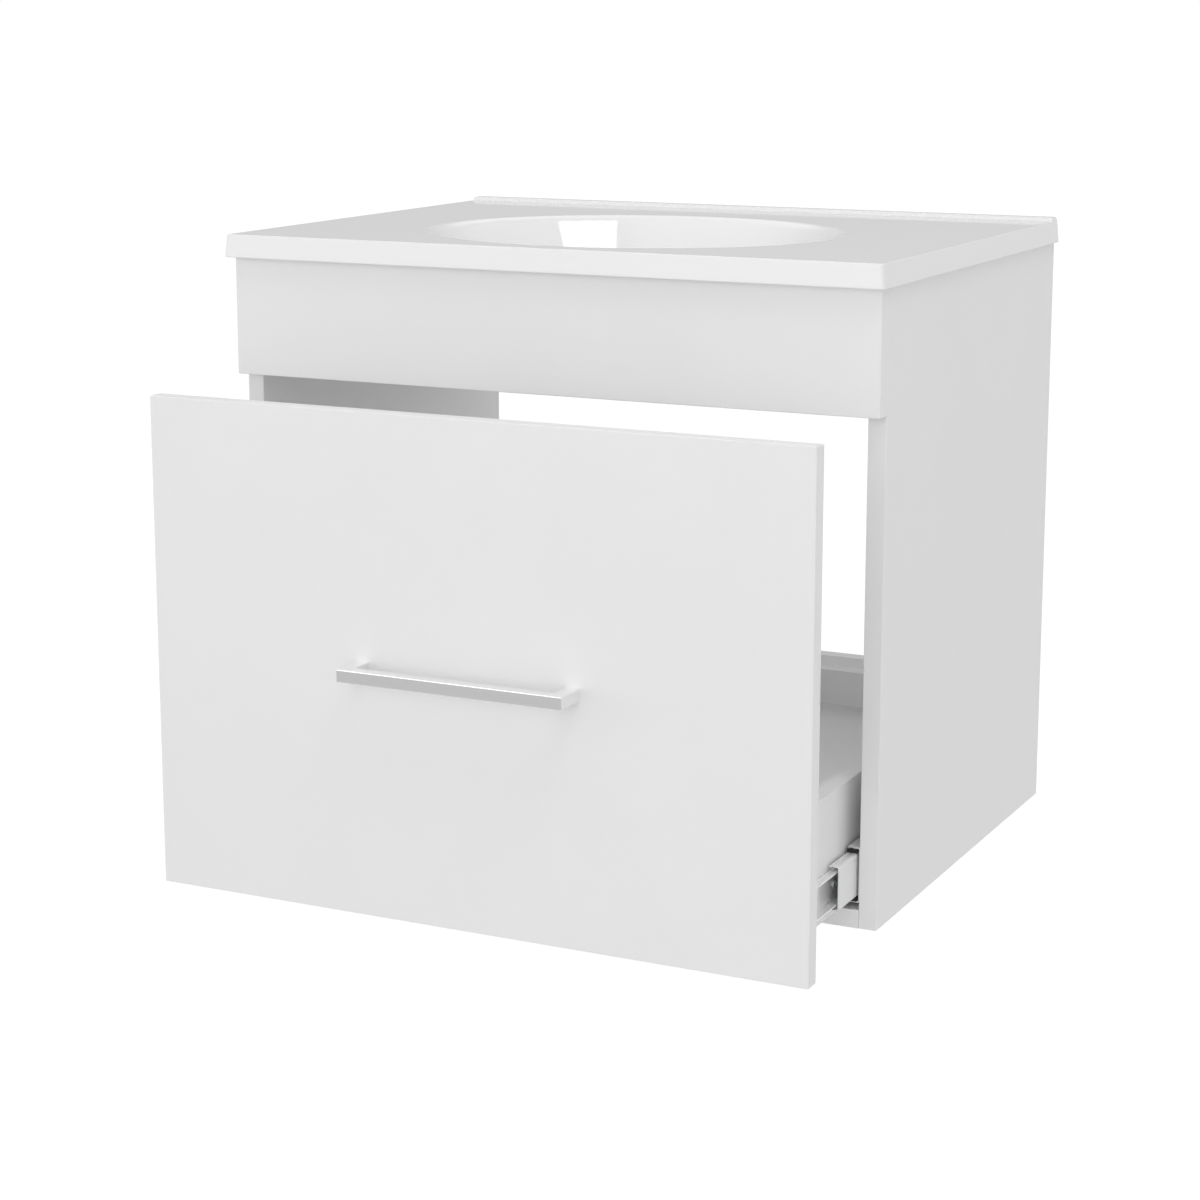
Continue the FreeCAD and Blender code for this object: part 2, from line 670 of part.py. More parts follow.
# Drawer: a tall front on a low box whose floor lies high between its sides
drawer_joints = {}
drawer_screws = []
drawer_screw_bores = {}
for side, hand in SIDES:
    inward = "-x" if hand > 0 else "+x"
    middle = f"{hand} * (drawer_out - drawer_board / 2)"
    drawer_joints[side] = Joint(f"{side}_drawer", (middle, "front_back", "drawer_foot + drawer_cam_lift"),
                                "+y", inward, "z", "drawer_board")
    outside = f"{hand} * (drawer_out)"
    back_line = "drawer_end - drawer_board / 2"
    back_middle = "drawer_foot + drawer_side_height - back_screw_pitch"
    floor_line = "drawer_floor + drawer_board / 2"
    spots = {
        "back_low": (outside, back_line, f"{back_middle} - back_screw_pitch / 2"),
        "back_high": (outside, back_line, f"{back_middle} + back_screw_pitch / 2"),
        "floor_front": (outside, "front_back + floor_screw_inset", floor_line),
        "floor_rear": (outside, "drawer_end - drawer_board - floor_screw_inset", floor_line),
    }
    drawer_screw_bores[side] = {}
    for mark, spot in spots.items():
        names = ("drawer_screw_diameter", "drawer_screw_length", "drawer_screw_head", spot, inward)
        drawer_screws.append(countersunk(f"{side}_{mark}_screw", *names, "0"))
        drawer_screw_bores[side][mark] = countersunk(f"{side}_{mark}_bore", *names, "fit_clearance")

handle_spots = [(f"{hand} * (handle_half - handle_leg / 2)", "front_back", "handle_z")
                for _, hand in SIDES]
handle_bores = [rod(f"handle_bore_{index}", "handle_screw_diameter / 2 + fit_clearance",
                    "drawer_board + handle_screw_bite", spot, "-y") for index, spot in enumerate(handle_spots)]
panel = block("drawer_front_board", ("cabinet_width", "drawer_board", "front_height"),
              ("0", "front_back - drawer_board / 2", "bottom + front_height / 2"))
panel = rounded("drawer_front_eased", panel, "edge_round")
panel = joined("drawer_front", panel, drawer_joints.values())
node(cut("drawer_front_drilled", panel, handle_bores), "drawer_front")

for side, hand in SIDES:
    board = block(f"drawer_{side}_board", ("drawer_board", "drawer_length", "drawer_side_height"),
                  (f"{hand} * (drawer_out - drawer_board / 2)", "(front_back + drawer_end) / 2",
                   "drawer_foot + drawer_side_height / 2"))
    board = joined(f"drawer_{side}", board, cams=[drawer_joints[side]])
    bores = drawer_slide_bores[side] + list(drawer_screw_bores[side].values())
    node(cut(f"drawer_{side}_screwed", board, bores), f"drawer_{side}_side")

back = block("drawer_back_board", ("2 * drawer_in", "drawer_board", "drawer_back_height"),
             ("0", "drawer_end - drawer_board / 2", "drawer_back_foot + drawer_back_height / 2"))
floor = block("drawer_floor_board", ("2 * drawer_in", "drawer_length - drawer_board", "drawer_board"),
              ("0", "(front_back + drawer_end - drawer_board) / 2", "drawer_floor + drawer_board / 2"))
for name, board, marks in (("drawer_back", back, ("back_low", "back_high")),
                           ("drawer_bottom", floor, ("floor_front", "floor_rear"))):
    bores = [drawer_screw_bores[side][mark] for side, _ in SIDES for mark in marks]
    node(cut(f"{name}_bored", board, bores), name)

node(bundle("drawer_cam_set", [joint.cam for joint in drawer_joints.values()]), "drawer_cams")
node(bundle("drawer_bolt_set", [joint.bolt for joint in drawer_joints.values()]), "drawer_cam_bolts")
node(bundle("drawer_dowel_set", [dowel for joint in drawer_joints.values() for dowel in joint.dowels]),
     "drawer_dowels")
node(bundle("drawer_screw_set", drawer_screws), "drawer_screws")

# Bar handle: one square bar bent twice, with a blind screw hole in each leg
handle = doc.addObject("PartDesign::Body", "handle_bar_body")
handle_sketch = sketch_on(handle, "handle_outline", "XY_Plane")
outline(handle_sketch, [
    ("-handle_half", "0"), ("-handle_half", "-handle_reach"), ("handle_half", "-handle_reach"),
    ("handle_half", "0"), ("handle_gap", "0"), ("handle_gap", "-handle_reach + handle_bar"),
    ("-handle_gap", "-handle_reach + handle_bar"), ("-handle_gap", "0")])
pad(handle, "handle_pad", handle_sketch, "handle_bar")
reach = value("handle_reach")
ease(handle, "handle_edges", "handle_edge", lambda edge: near(edge.BoundBox.YMin, -reach))
put(handle, "0", "front_back - drawer_board", "handle_z - handle_bar / 2")
node(cut("handle_drilled", handle, handle_bores), "bar_handle")
handle_screw_parts = []
for index, spot in enumerate(handle_spots):
    shank = rod(f"handle_shank_{index}", "handle_screw_diameter / 2",
                "drawer_board + handle_screw_bite - fit_clearance", spot, "-y")
    head = rod(f"handle_head_{index}", "handle_screw_head / 2", "handle_screw_cap", spot, "+y")
    handle_screw_parts.append(fuse(f"handle_screw_{index}", [shank, head]))
node(bundle("handle_screw_set", handle_screw_parts), "handle_screws")

# Telescopic slides. A section is drawn in u, from the cabinet side towards the drawer, and v, up from
# the middle of the slide.


def channel(name, hand, web, web_face, tip, half, sheet, start, length, ball_lines):
    """A rolled channel with a web, two flanges and a ball track wherever a ball line passes."""
    body = doc.addObject("PartDesign::Body", f"{name}_channel")
    inner = f"{half} - {sheet}"

    def section(u, v):
        return (f"{hand} * (side_in - ({u}))", v)

    sketch = sketch_on(body, f"{name}_section", "XZ_Plane")
    outline(sketch, [section(web, f"-({half})"), section(tip, f"-({half})"), section(tip, f"-({inner})"),
                     section(web_face, f"-({inner})"), section(web_face, inner), section(tip, inner),
                     section(tip, half), section(web, half)])
    pad(body, f"{name}_pad", sketch, length, backwards=True)
    for mark, u, v, radius in (("outer", web, half, f"bend_inside + {sheet}"),
                               ("inner", web_face, inner, "bend_inside")):
        x = value(section(u, "0")[0])
        z = value(v)
        ease(body, f"{name}_{mark}_bends", radius,
             lambda edge: near(edge.BoundBox.XMin, x) and near(edge.BoundBox.XMax, x)
             and near(abs(edge.BoundBox.ZMin), z) and edge.BoundBox.YLength > edge.BoundBox.ZLength)
    put(body, "0", start, "slide_z")
    tracks = [rod(f"{name}_track_{line}_{way}", "ball_diameter / 2 + ball_clearance", length,
                  (section("ball_line", "")[0], start, f"slide_z {way} ({line})"), "+y")
              for line in ball_lines for way in ("+", "-")]
    return cut(f"{name}_tracked", body, tracks) if tracks else body


def cage(name, hand, web, ball_v, start, length):
    """A ball cage and its balls: a thin channel whose lips carry two rows of balls."""
    body = channel(name, hand, web, f"{web} + cage_sheet", "cage_reach", f"{ball_v} + cage_lip / 2",
                   "cage_lip", start, length, ())
    balls = []
    pockets = []
    for index in range(BALLS_PER_ROW):
        y = f"{start} + ball_margin + ({length} - 2 * ball_margin) * {index} / {BALLS_PER_ROW - 1}"
        x = f"{hand} * (side_in - ball_line)"
        pockets.append(rod(f"{name}_pocket_{index}", "ball_diameter / 2 + ball_clearance", "slide_height",
                           (x, y, "slide_z - outer_half"), "+z"))
        for way in ("+", "-"):
            mark = "upper" if way == "+" else "lower"
            ball = doc.addObject("Part::Sphere", f"{name}_{mark}_ball_{index}")
            bind(ball, "Radius", "ball_diameter / 2")
            balls.append(put(ball, x, y, f"slide_z {way} ({ball_v})"))
    return cut(f"{name}_pocketed", body, pockets), bundle(f"{name}_balls", balls)


for side, hand in SIDES:
    fixed = channel(f"{side}_fixed", hand, "0", "steel", "flange_reach", "outer_half", "steel",
                    "slide_start", "slide_length", ("outer_ball_v",))
    node(cut(f"{side}_fixed_drilled", fixed, cabinet_screw_bores[side]), f"{side}_slide_cabinet_member")
    node(channel(f"{side}_middle", hand, "middle_web", "middle_web + steel", "flange_reach", "middle_half",
                 "steel", "middle_start", "middle_length", ("outer_ball_v", "inner_ball_v")),
         f"{side}_slide_middle_member")
    moving = channel(f"{side}_moving", hand, "slide_space", "slide_space - steel", "drawer_member_tip",
                     "inner_half", "steel", "drawer_member_start", "drawer_member_length", ("inner_ball_v",))
    node(cut(f"{side}_moving_drilled", moving, drawer_slide_bores[side]), f"{side}_slide_drawer_member")
    for mark, web, ball_v in (("outer", "outer_cage_web", "outer_ball_v"),
                              ("inner", "inner_cage_web", "inner_ball_v")):
        strip, balls = cage(f"{side}_{mark}_cage", hand, web, ball_v, f"{mark}_cage_start",
                            f"{mark}_cage_length")
        node(strip, f"{side}_{mark}_ball_cage")
        node(balls, f"{side}_{mark}_balls")
    guide_span = "flange_reach - steel - bend_inside"
    guide_height = "ball_space - run_gap"
    guides = [block(f"{side}_guide_{mark}", (guide_span, "guide_length + guide_nose", guide_height),
                    (f"{hand} * (side_in - flange_reach + ({guide_span}) / 2)",
                     "slide_start + (guide_length - guide_nose) / 2",
                     f"slide_z {way} (outer_half - steel - ({guide_height}) / 2)"))
              for mark, way in (("upper", "+"), ("lower", "-"))]
    node(bundle(f"{side}_guides", guides), f"{side}_slide_front_guides")
    bumper_span = "inner_cage_web - steel"
    node(block(f"{side}_bumper", (bumper_span, "bumper_length", "bumper_height"),
               (f"{hand} * (side_in - steel - ({bumper_span}) / 2)",
                "slide_start + slide_length - bumper_length / 2", "slide_z")), f"{side}_slide_rear_bumper")

node(bundle("cabinet_screw_set", cabinet_screws["left"] + cabinet_screws["right"]), "slide_cabinet_screws")
node(bundle("drawer_slide_screw_set", drawer_slide_screws["left"] + drawer_slide_screws["right"]),
     "slide_drawer_screws")

doc.recompute()
for thing in doc.Objects:
    if {"Invalid", "Error"} & set(thing.State):
        raise RuntimeError(f"{thing.Name} failed: {thing.State}")
for thing in nodes:
    if thing.Shape.isNull() or not thing.Shape.isValid():
        raise RuntimeError(f"{thing.Label} has no valid shape")

os.makedirs("parts", exist_ok=True)
for thing in nodes:
    thing.Shape.exportStep(f"parts/{thing.Label}.step")
    print(f"{thing.Label}: {len(thing.Shape.Solids)} solids, {thing.Shape.Volume / 1000:.1f} cm3")
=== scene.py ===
import json
import logging
import math
from dataclasses import dataclass
from enum import Enum
from typing import Any, Dict, List, Optional, Sequence, Tuple

import bpy
import numpy as np
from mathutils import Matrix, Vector


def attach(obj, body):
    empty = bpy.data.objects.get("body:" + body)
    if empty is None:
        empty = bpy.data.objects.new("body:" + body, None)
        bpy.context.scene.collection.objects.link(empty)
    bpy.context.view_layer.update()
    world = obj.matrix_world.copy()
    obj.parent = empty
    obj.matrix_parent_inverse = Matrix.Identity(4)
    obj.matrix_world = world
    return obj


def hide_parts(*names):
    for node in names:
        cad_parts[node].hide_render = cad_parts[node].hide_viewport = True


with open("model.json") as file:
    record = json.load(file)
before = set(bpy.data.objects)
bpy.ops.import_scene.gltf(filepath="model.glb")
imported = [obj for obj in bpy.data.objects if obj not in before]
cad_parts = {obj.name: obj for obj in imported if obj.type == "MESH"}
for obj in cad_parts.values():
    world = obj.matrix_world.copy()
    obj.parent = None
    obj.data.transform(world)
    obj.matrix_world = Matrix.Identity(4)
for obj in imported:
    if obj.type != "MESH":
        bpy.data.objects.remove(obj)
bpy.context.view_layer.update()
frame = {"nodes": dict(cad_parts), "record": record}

# A white wall-hung vanity unit: a moulded basin top on a board cabinet, and one deep drawer that
# runs on telescopic ball slides. +Z is up, the front faces -Y and the wall is the plane Y = 0. Fields of
# the pieces are in mm, and the meshes and the studio in metres.

LOG = logging.getLogger("vanity_unit")
MM = 0.001
SHARP_DEG = 35.0
NOISE_DETAIL = 2.0
WHITE = "ffffff"
# The sRGB curve: a straight toe, and above it a power of the shifted and scaled value.
SRGB_TOE = 0.04045
SRGB_TOE_SLOPE = 12.92
SRGB_SHIFT = 0.055
SRGB_SCALE = 1.055
SRGB_POWER = 2.4
# Sockets of the mix node, whose inputs share their names: its share, two numbers, two colours, and
# the mixed colour.
MIX_SHARE, MIX_FIRST, MIX_SECOND, MIX_LIGHT, MIX_DARK, MIX_COLOUR = 0, 2, 3, 6, 7, 2

Colour = Tuple[float, float, float, float]
Array = np.ndarray


class Body(str, Enum):
    """The moving bodies that pieces ride on."""

    CABINET = "cabinet"
    DRAWER = "drawer"


class LampUse(str, Enum):
    """What a lamp acts on: all but what mirrors show, or only what they show."""

    SOFT = "soft"
    MIRRORED = "mirrored"


class Slot(str, Enum):
    """The material slots of the record."""

    BOARD = "white_board"
    RESIN = "cast_resin"
    CHROME = "chromed_brass"
    RUBBER = "black_rubber"
    DIECAST = "zinc_diecast"
    FASTENER = "zinc_steel"
    SLIDE = "slide_steel"
    CAGE = "cage_steel"
    BALL = "ball_steel"
    DOWEL = "beech_dowel"
    HANDLE = "handle_metal"
    PLASTIC = "black_plastic"


def hex_colour(code: str) -> Colour:
    """Turn an sRGB hex value into linear light.

    Args:
        code: Six hex digits, red first.

    Returns:
        Linear red, green and blue, and an alpha of 1.
    """
    parts = [int(code[i:i + 2], 16) / 255 for i in (0, 2, 4)]
    linear = [p / SRGB_TOE_SLOPE if p <= SRGB_TOE else ((p + SRGB_SHIFT) / SRGB_SCALE) ** SRGB_POWER
              for p in parts]
    return (linear[0], linear[1], linear[2], 1.0)


def add_node(tree: bpy.types.NodeTree, kind: str, values: Optional[Dict[Any, Any]] = None,
             links: Optional[Dict[Any, bpy.types.NodeSocket]] = None, **settings: Any) -> bpy.types.Node:
    """Add one node with its settings, socket values and incoming links.

    Args:
        tree: The node tree that gets the node.
        kind: The node's type name.
        values: Input sockets, by name or number, and the values they are set to.
        links: Input sockets, by name or number, and the output sockets that feed them.
        **settings: Properties of the node itself.

    Returns:
        The new node.
    """
    made = tree.nodes.new(kind)
    for name, setting in settings.items():
        setattr(made, name, setting)
    for socket, value in (values or {}).items():
        made.inputs[socket].default_value = value
    for socket, source in (links or {}).items():
        tree.links.new(source, made.inputs[socket])
    return made


def add_up(tree: bpy.types.NodeTree, parts: Sequence[bpy.types.NodeSocket]) -> bpy.types.NodeSocket:
    """Add up the outputs of nodes.

    Args:
        tree: The node tree that they are in.
        parts: One or more outputs.

    Returns:
        The output that gives their sum.
    """
    total = parts[0]
    for part in parts[1:]:
        total = add_node(tree, "ShaderNodeMath", {}, {0: total, 1: part}, operation="ADD").outputs[0]
    return total


@dataclass(frozen=True)
class Grain:
    """One scale of relief or mottling in a finish.

    Attributes:
        size_mm: Width of one feature.
        stretch: How many times longer a feature is along X, Y and Z.
        height_mm: Depth of the relief.
        tone: How far the colour moves from the light tone to the dark one.
        gloss: How far the roughness moves.
        cells: True for crystals with edges, False for soft clouds.
    """

    size_mm: float
    stretch: Tuple[float, float, float] = (1.0, 1.0, 1.0)
    height_mm: float = 0.0
    tone: float = 0.0
    gloss: float = 0.0
    cells: bool = False

    def level(self, tree: bpy.types.NodeTree, place: bpy.types.NodeSocket) -> bpy.types.NodeSocket:
        """Add the pattern, a noise or a cell pattern whose features have their real size.

        Args:
            tree: The material's node tree.
            place: Object coordinates, in metres.

        Returns:
            The pattern's level, from 0 to 1.
        """
        scale = [1.0 / (self.size_mm * MM * along) for along in self.stretch]
        mapped = add_node(tree, "ShaderNodeMapping", {"Scale": scale}, {"Vector": place}).outputs[0]
        if self.cells:
            return add_node(tree, "ShaderNodeTexVoronoi", {"Scale": 1.0}, {"Vector": mapped}).outputs["Color"]
        values = {"Scale": 1.0, "Detail": NOISE_DETAIL}
        return add_node(tree, "ShaderNodeTexNoise", values, {"Vector": mapped}).outputs["Fac"]


@dataclass(frozen=True)
class Finish:
    """A surface: its light and dark tones, its gloss and the grains that break them up.

    Attributes:
        name: The material's name.
        light: Hex colour of the light tone.
        dark: Hex colour of the dark tone.
        roughness: Roughness of the even surface.
        grains: The scales of relief and mottling on it.
        metallic: How far it is bare metal, from 0 to 1.
        ior: Index of refraction of what isn't metal.
    """

    name: str
    light: str
    dark: str
    roughness: float
    grains: Tuple[Grain, ...]
    metallic: float = 0.0
    ior: float = 1.5

    def material(self) -> bpy.types.Material:
        """Build the node material: the grains' tones, gloss and heights add up over the even surface.

        Returns:
            The new material.
        """
        made = bpy.data.materials.new(self.name)
        made.use_nodes = True
        tree = made.node_tree
        tree.nodes.clear()
        place = add_node(tree, "ShaderNodeTexCoord").outputs["Object"]
        levels = [(grain, grain.level(tree, place)) for grain in self.grains]
        values: Dict[str, float] = {"Metallic": self.metallic, "Roughness": self.roughness}
        if self.metallic == 0.0:
            values["IOR"] = self.ior
        links: Dict[str, bpy.types.NodeSocket] = {}
        tones = [add_node(tree, "ShaderNodeMath", {1: grain.tone}, {0: level},
                          operation="MULTIPLY").outputs[0] for grain, level in levels if grain.tone]
        mix = add_node(tree, "ShaderNodeMix",
                       {MIX_LIGHT: hex_colour(self.light), MIX_DARK: hex_colour(self.dark)},
                       {MIX_SHARE: add_up(tree, tones)}, data_type="RGBA")
        links["Base Color"] = mix.outputs[MIX_COLOUR]
        glosses = [add_node(tree, "ShaderNodeMath", {1: grain.gloss, 2: -grain.gloss / 2}, {0: level},
                            operation="MULTIPLY_ADD").outputs[0] for grain, level in levels if grain.gloss]
        if glosses:
            links["Roughness"] = add_node(tree, "ShaderNodeMath", {1: self.roughness},
                                          {0: add_up(tree, glosses)},
                                          operation="ADD", use_clamp=True).outputs[0]
        for grain, level in levels:
            if grain.height_mm:
                feed = {"Height": level}
                if "Normal" in links:
                    feed["Normal"] = links["Normal"]
                relief = {"Strength": 1.0, "Distance": grain.height_mm * MM}
                links["Normal"] = add_node(tree, "ShaderNodeBump", relief, feed).outputs[0]
        shader = add_node(tree, "ShaderNodeBsdfPrincipled", values, links)
        add_node(tree, "ShaderNodeOutputMaterial", {}, {"Surface": shader.outputs[0]})
        return made


# Brush and rolling lines, moulding textures and orange peel are too fine to show in the render, so they
# are drawn a few times as coarse as they are.

# Melamine-faced chipboard: printed paper pressed hot against a satin plate. The eye sees an even
# white with a soft sheen that a fine orange peel breaks up.
MELAMINE = Finish(
    "melamine_faced_board", "f4f4f4", "ebebeb", 0.42,
    (Grain(90.0, tone=0.35), Grain(1.6, height_mm=0.012), Grain(0.7, height_mm=0.006, gloss=0.08)))
# Cast mineral resin under a sprayed gel coat, from a polished mould: a deep wet gloss with a slow
# waviness in what it mirrors.
RESIN = Finish(
    "cast_mineral_resin_gel_coat", "f4f4f4", "eeeeee", 0.05,
    (Grain(140.0, tone=0.4), Grain(55.0, height_mm=0.05), Grain(6.0, gloss=0.04)), ior=1.52)
# Chromed brass: bright plating over polished metal, with faint dried water marks.
CHROME = Finish(
    "chrome_plated_brass", "e9ebed", "dcdfe2", 0.07,
    (Grain(9.0, tone=0.5, gloss=0.06), Grain(1.2, height_mm=0.003)), metallic=1.0)
# Nitrile rubber: moulded and matt, with a dusty bloom.
RUBBER = Finish(
    "nitrile_rubber", "161616", "24242a", 0.78,
    (Grain(6.0, tone=0.6, gloss=0.1), Grain(0.5, height_mm=0.03)))
# Zinc die casting: bright but grainy skin, as it left the die.
DIECAST = Finish(
    "zinc_die_casting", "c3c6c9", "a4a8ac", 0.38,
    (Grain(2.2, tone=0.6, gloss=0.12), Grain(0.6, height_mm=0.02)), metallic=1.0)
# Zinc-plated steel, blue passivated: bright with a cool cast that drifts over each head.
FASTENER = Finish(
    "zinc_plated_steel", "d3d5d8", "bcc0c6", 0.26,
    (Grain(3.0, tone=0.7, gloss=0.1), Grain(0.5, height_mm=0.006)), metallic=1.0)
# Cold-rolled strip, bright zinc plated and bent: faint rolling lines along the length and a crystal
# bloom a few millimetres wide.
ROLLED = Finish(
    "bright_zinc_rolled_steel", "f8f8f8", "e8e9e9", 0.2,
    (Grain(0.9, (1.0, 60.0, 1.0), height_mm=0.004, tone=0.4, gloss=0.08),
     Grain(5.0, tone=0.2, gloss=0.02, cells=True)), metallic=0.38)
# Thin pressed strip of the same plating, a shade duller.
CAGE = Finish(
    "zinc_plated_pressed_strip", "c9ccd0", "aeb3b9", 0.32,
    (Grain(1.0, (1.0, 40.0, 1.0), height_mm=0.004, tone=0.5, gloss=0.1),), metallic=1.0)
# Bearing balls: ground and polished steel with a film of grease that dulls them in patches.
BALL = Finish(
    "polished_bearing_steel", "d7d9db", "bfc2c6", 0.1,
    (Grain(1.4, tone=0.6, gloss=0.14),), metallic=1.0)
# Beech: pale pinkish wood with short dark flecks along the dowel.
BEECH = Finish(
    "bare_beech", "d9bd94", "b48d60", 0.62,
    (Grain(0.8, (14.0, 1.0, 1.0), height_mm=0.03, tone=0.75), Grain(0.35, (8.0, 1.0, 1.0), tone=0.3)))
# Extruded aluminium, satin anodised: fine brush lines along the bar and a soft broad highlight.
ALUMINIUM = Finish(
    "satin_anodised_aluminium", "fbfbfb", "f2f2f3", 0.22,
    (Grain(0.45, (90.0, 1.0, 1.0), height_mm=0.004, tone=0.6, gloss=0.12), Grain(30.0, tone=0.2)),
    metallic=1.0)
# Moulded acetal, black: spark-eroded texture with a dull sheen.
PLASTIC = Finish(
    "black_moulded_acetal", "0d0d0e", "1b1b1d", 0.46,
    (Grain(0.6, height_mm=0.02, gloss=0.12), Grain(7.0, tone=0.5)))

FINISHES: Dict[Slot, Finish] = {
    Slot.BOARD: MELAMINE, Slot.RESIN: RESIN, Slot.CHROME: CHROME, Slot.RUBBER: RUBBER, Slot.DIECAST: DIECAST,
    Slot.FASTENER: FASTENER, Slot.SLIDE: ROLLED, Slot.CAGE: CAGE, Slot.BALL: BALL, Slot.DOWEL: BEECH,
    Slot.HANDLE: ALUMINIUM, Slot.PLASTIC: PLASTIC,
}


class PaintShop:
    """Makes each finish once and puts it on CAD nodes and new pieces."""

    def __init__(self) -> None:
        """Read each node's slot from the record."""
        self.made: Dict[Slot, bpy.types.Material] = {}
        self.slots = {row["node"]: Slot(row["material_slot"]) for row in frame["record"]["subparts"]}

    def material(self, slot: Slot) -> bpy.types.Material:
        """Give the material of a slot, made on first use.

        Args:
            slot: The record's slot.

        Returns:
            Its material.
        """
        if slot not in self.made:
            self.made[slot] = FINISHES[slot].material()
        return self.made[slot]

    def dress_nodes(self, nodes: Sequence[str]) -> None:
        """Put the finish of its record slot on each of these CAD nodes.

        Args:
            nodes: The nodes' names.
        """
        for name in nodes:
            node = frame["nodes"][name]
            node.data.materials.clear()
            node.data.materials.append(self.material(self.slots[name]))
            LOG.info("dressed %s as %s", name, self.slots[name].value)

    def dress(self, piece: bpy.types.Object, slot: Slot, body: Body) -> None:
        """Finish a new piece and let it ride on its body.

        Args:
            piece: The new piece, in place.
            slot: The record's slot that it takes its finish from.
            body: The body that it moves with.
        """
        piece.data.materials.append(self.material(slot))
        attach(piece, body.value)
        LOG.info("built %s: %d faces on %s", piece.name, len(piece.data.polygons), body.value)


def grid_mesh(name: str, points: Array, wrap_rows: bool = False, wrap_columns: bool = False,
              caps: bool = False) -> bpy.types.Object:
    """Make a smooth mesh from a grid of points, or from several grids at once.

    Args:
        name: The piece's name.
        points: Rows by columns by 3, in metres, with the number of grids in front if there are several.
            The columns turn anticlockwise for an eye that looks back along the rows from the last one.
        wrap_rows: True if the last row joins the first.
        wrap_columns: True if the last column joins the first.
        caps: True if a face closes the first row and another the last.

    Returns:
        The new object, linked to the scene.
    """
    rows, columns = points.shape[-3:-1]
    index = np.arange(points.size // 3).reshape(-1, rows, columns)
    here = index if wrap_rows else index[:, :-1]
    below = np.roll(index, -1, axis=1) if wrap_rows else index[:, 1:]
    if wrap_columns:
        quads = np.stack([here, np.roll(here, -1, 2), np.roll(below, -1, 2), below], -1)
    else:
        quads = np.stack([here[..., :-1], here[..., 1:], below[..., 1:], below[..., :-1]], -1)
    loops = quads.ravel()
    sizes = np.full(loops.size // 4, 4)
    if caps:
        lids = np.concatenate([index[:, 0, ::-1], index[:, -1]])
        loops = np.concatenate([loops, lids.ravel()])
        sizes = np.concatenate([sizes, np.full(len(lids), columns)])
    mesh = bpy.data.meshes.new(name)
    mesh.vertices.add(index.size)
    mesh.vertices.foreach_set("co", points.astype(np.float32).ravel())
    mesh.loops.add(loops.size)
    mesh.loops.foreach_set("vertex_index", loops.astype(np.int32))
    mesh.polygons.add(len(sizes))
    mesh.polygons.foreach_set("loop_start", (np.cumsum(sizes) - sizes).astype(np.int32))
    mesh.polygons.foreach_set("use_smooth", np.ones(len(sizes), dtype=bool))
    mesh.update(calc_edges=True)
    mesh.validate()
    mesh.set_sharp_from_angle(angle=math.radians(SHARP_DEG))
    piece = bpy.data.objects.new(name, mesh)
    bpy.context.scene.collection.objects.link(piece)
    return piece


def turn_round(start: float, end: float, radius: float, steps: int) -> Tuple[Array, Array]:
    """Slopes and lengths of the short chords that make an arc.

    Args:
        start: Slope at its start, in degrees.
        end: Slope at its end, in degrees.
        radius: Radius of the arc.
        steps: Number of chords.

    Returns:
        The chords' slopes, in radians, and their lengths.
    """
    edges = np.radians(np.linspace(start, end, steps + 1))
    turn = abs(edges[1] - edges[0])
    return (edges[1:] + edges[:-1]) / 2, np.full(steps, 2 * radius * math.sin(turn / 2))


@dataclass(frozen=True)
class Cabinet:
    """The cabinet: its boards, and the cams, bolts and dowels that join them.

    Attributes:
        boards: Nodes of the boards.
        fittings: Nodes of the cams, bolts and dowels.
    """

    boards: Tuple[str, ...] = ("left_side_panel", "right_side_panel", "front_fascia", "front_bottom_rail",
                               "rear_bottom_rail", "rear_top_rail")
    fittings: Tuple[str, ...] = ("carcass_cams", "carcass_cam_bolts", "carcass_dowels")

    def build(self, shop: PaintShop) -> None:
        """Dress the boards and their fittings."""
        shop.dress_nodes(self.boards + self.fittings)


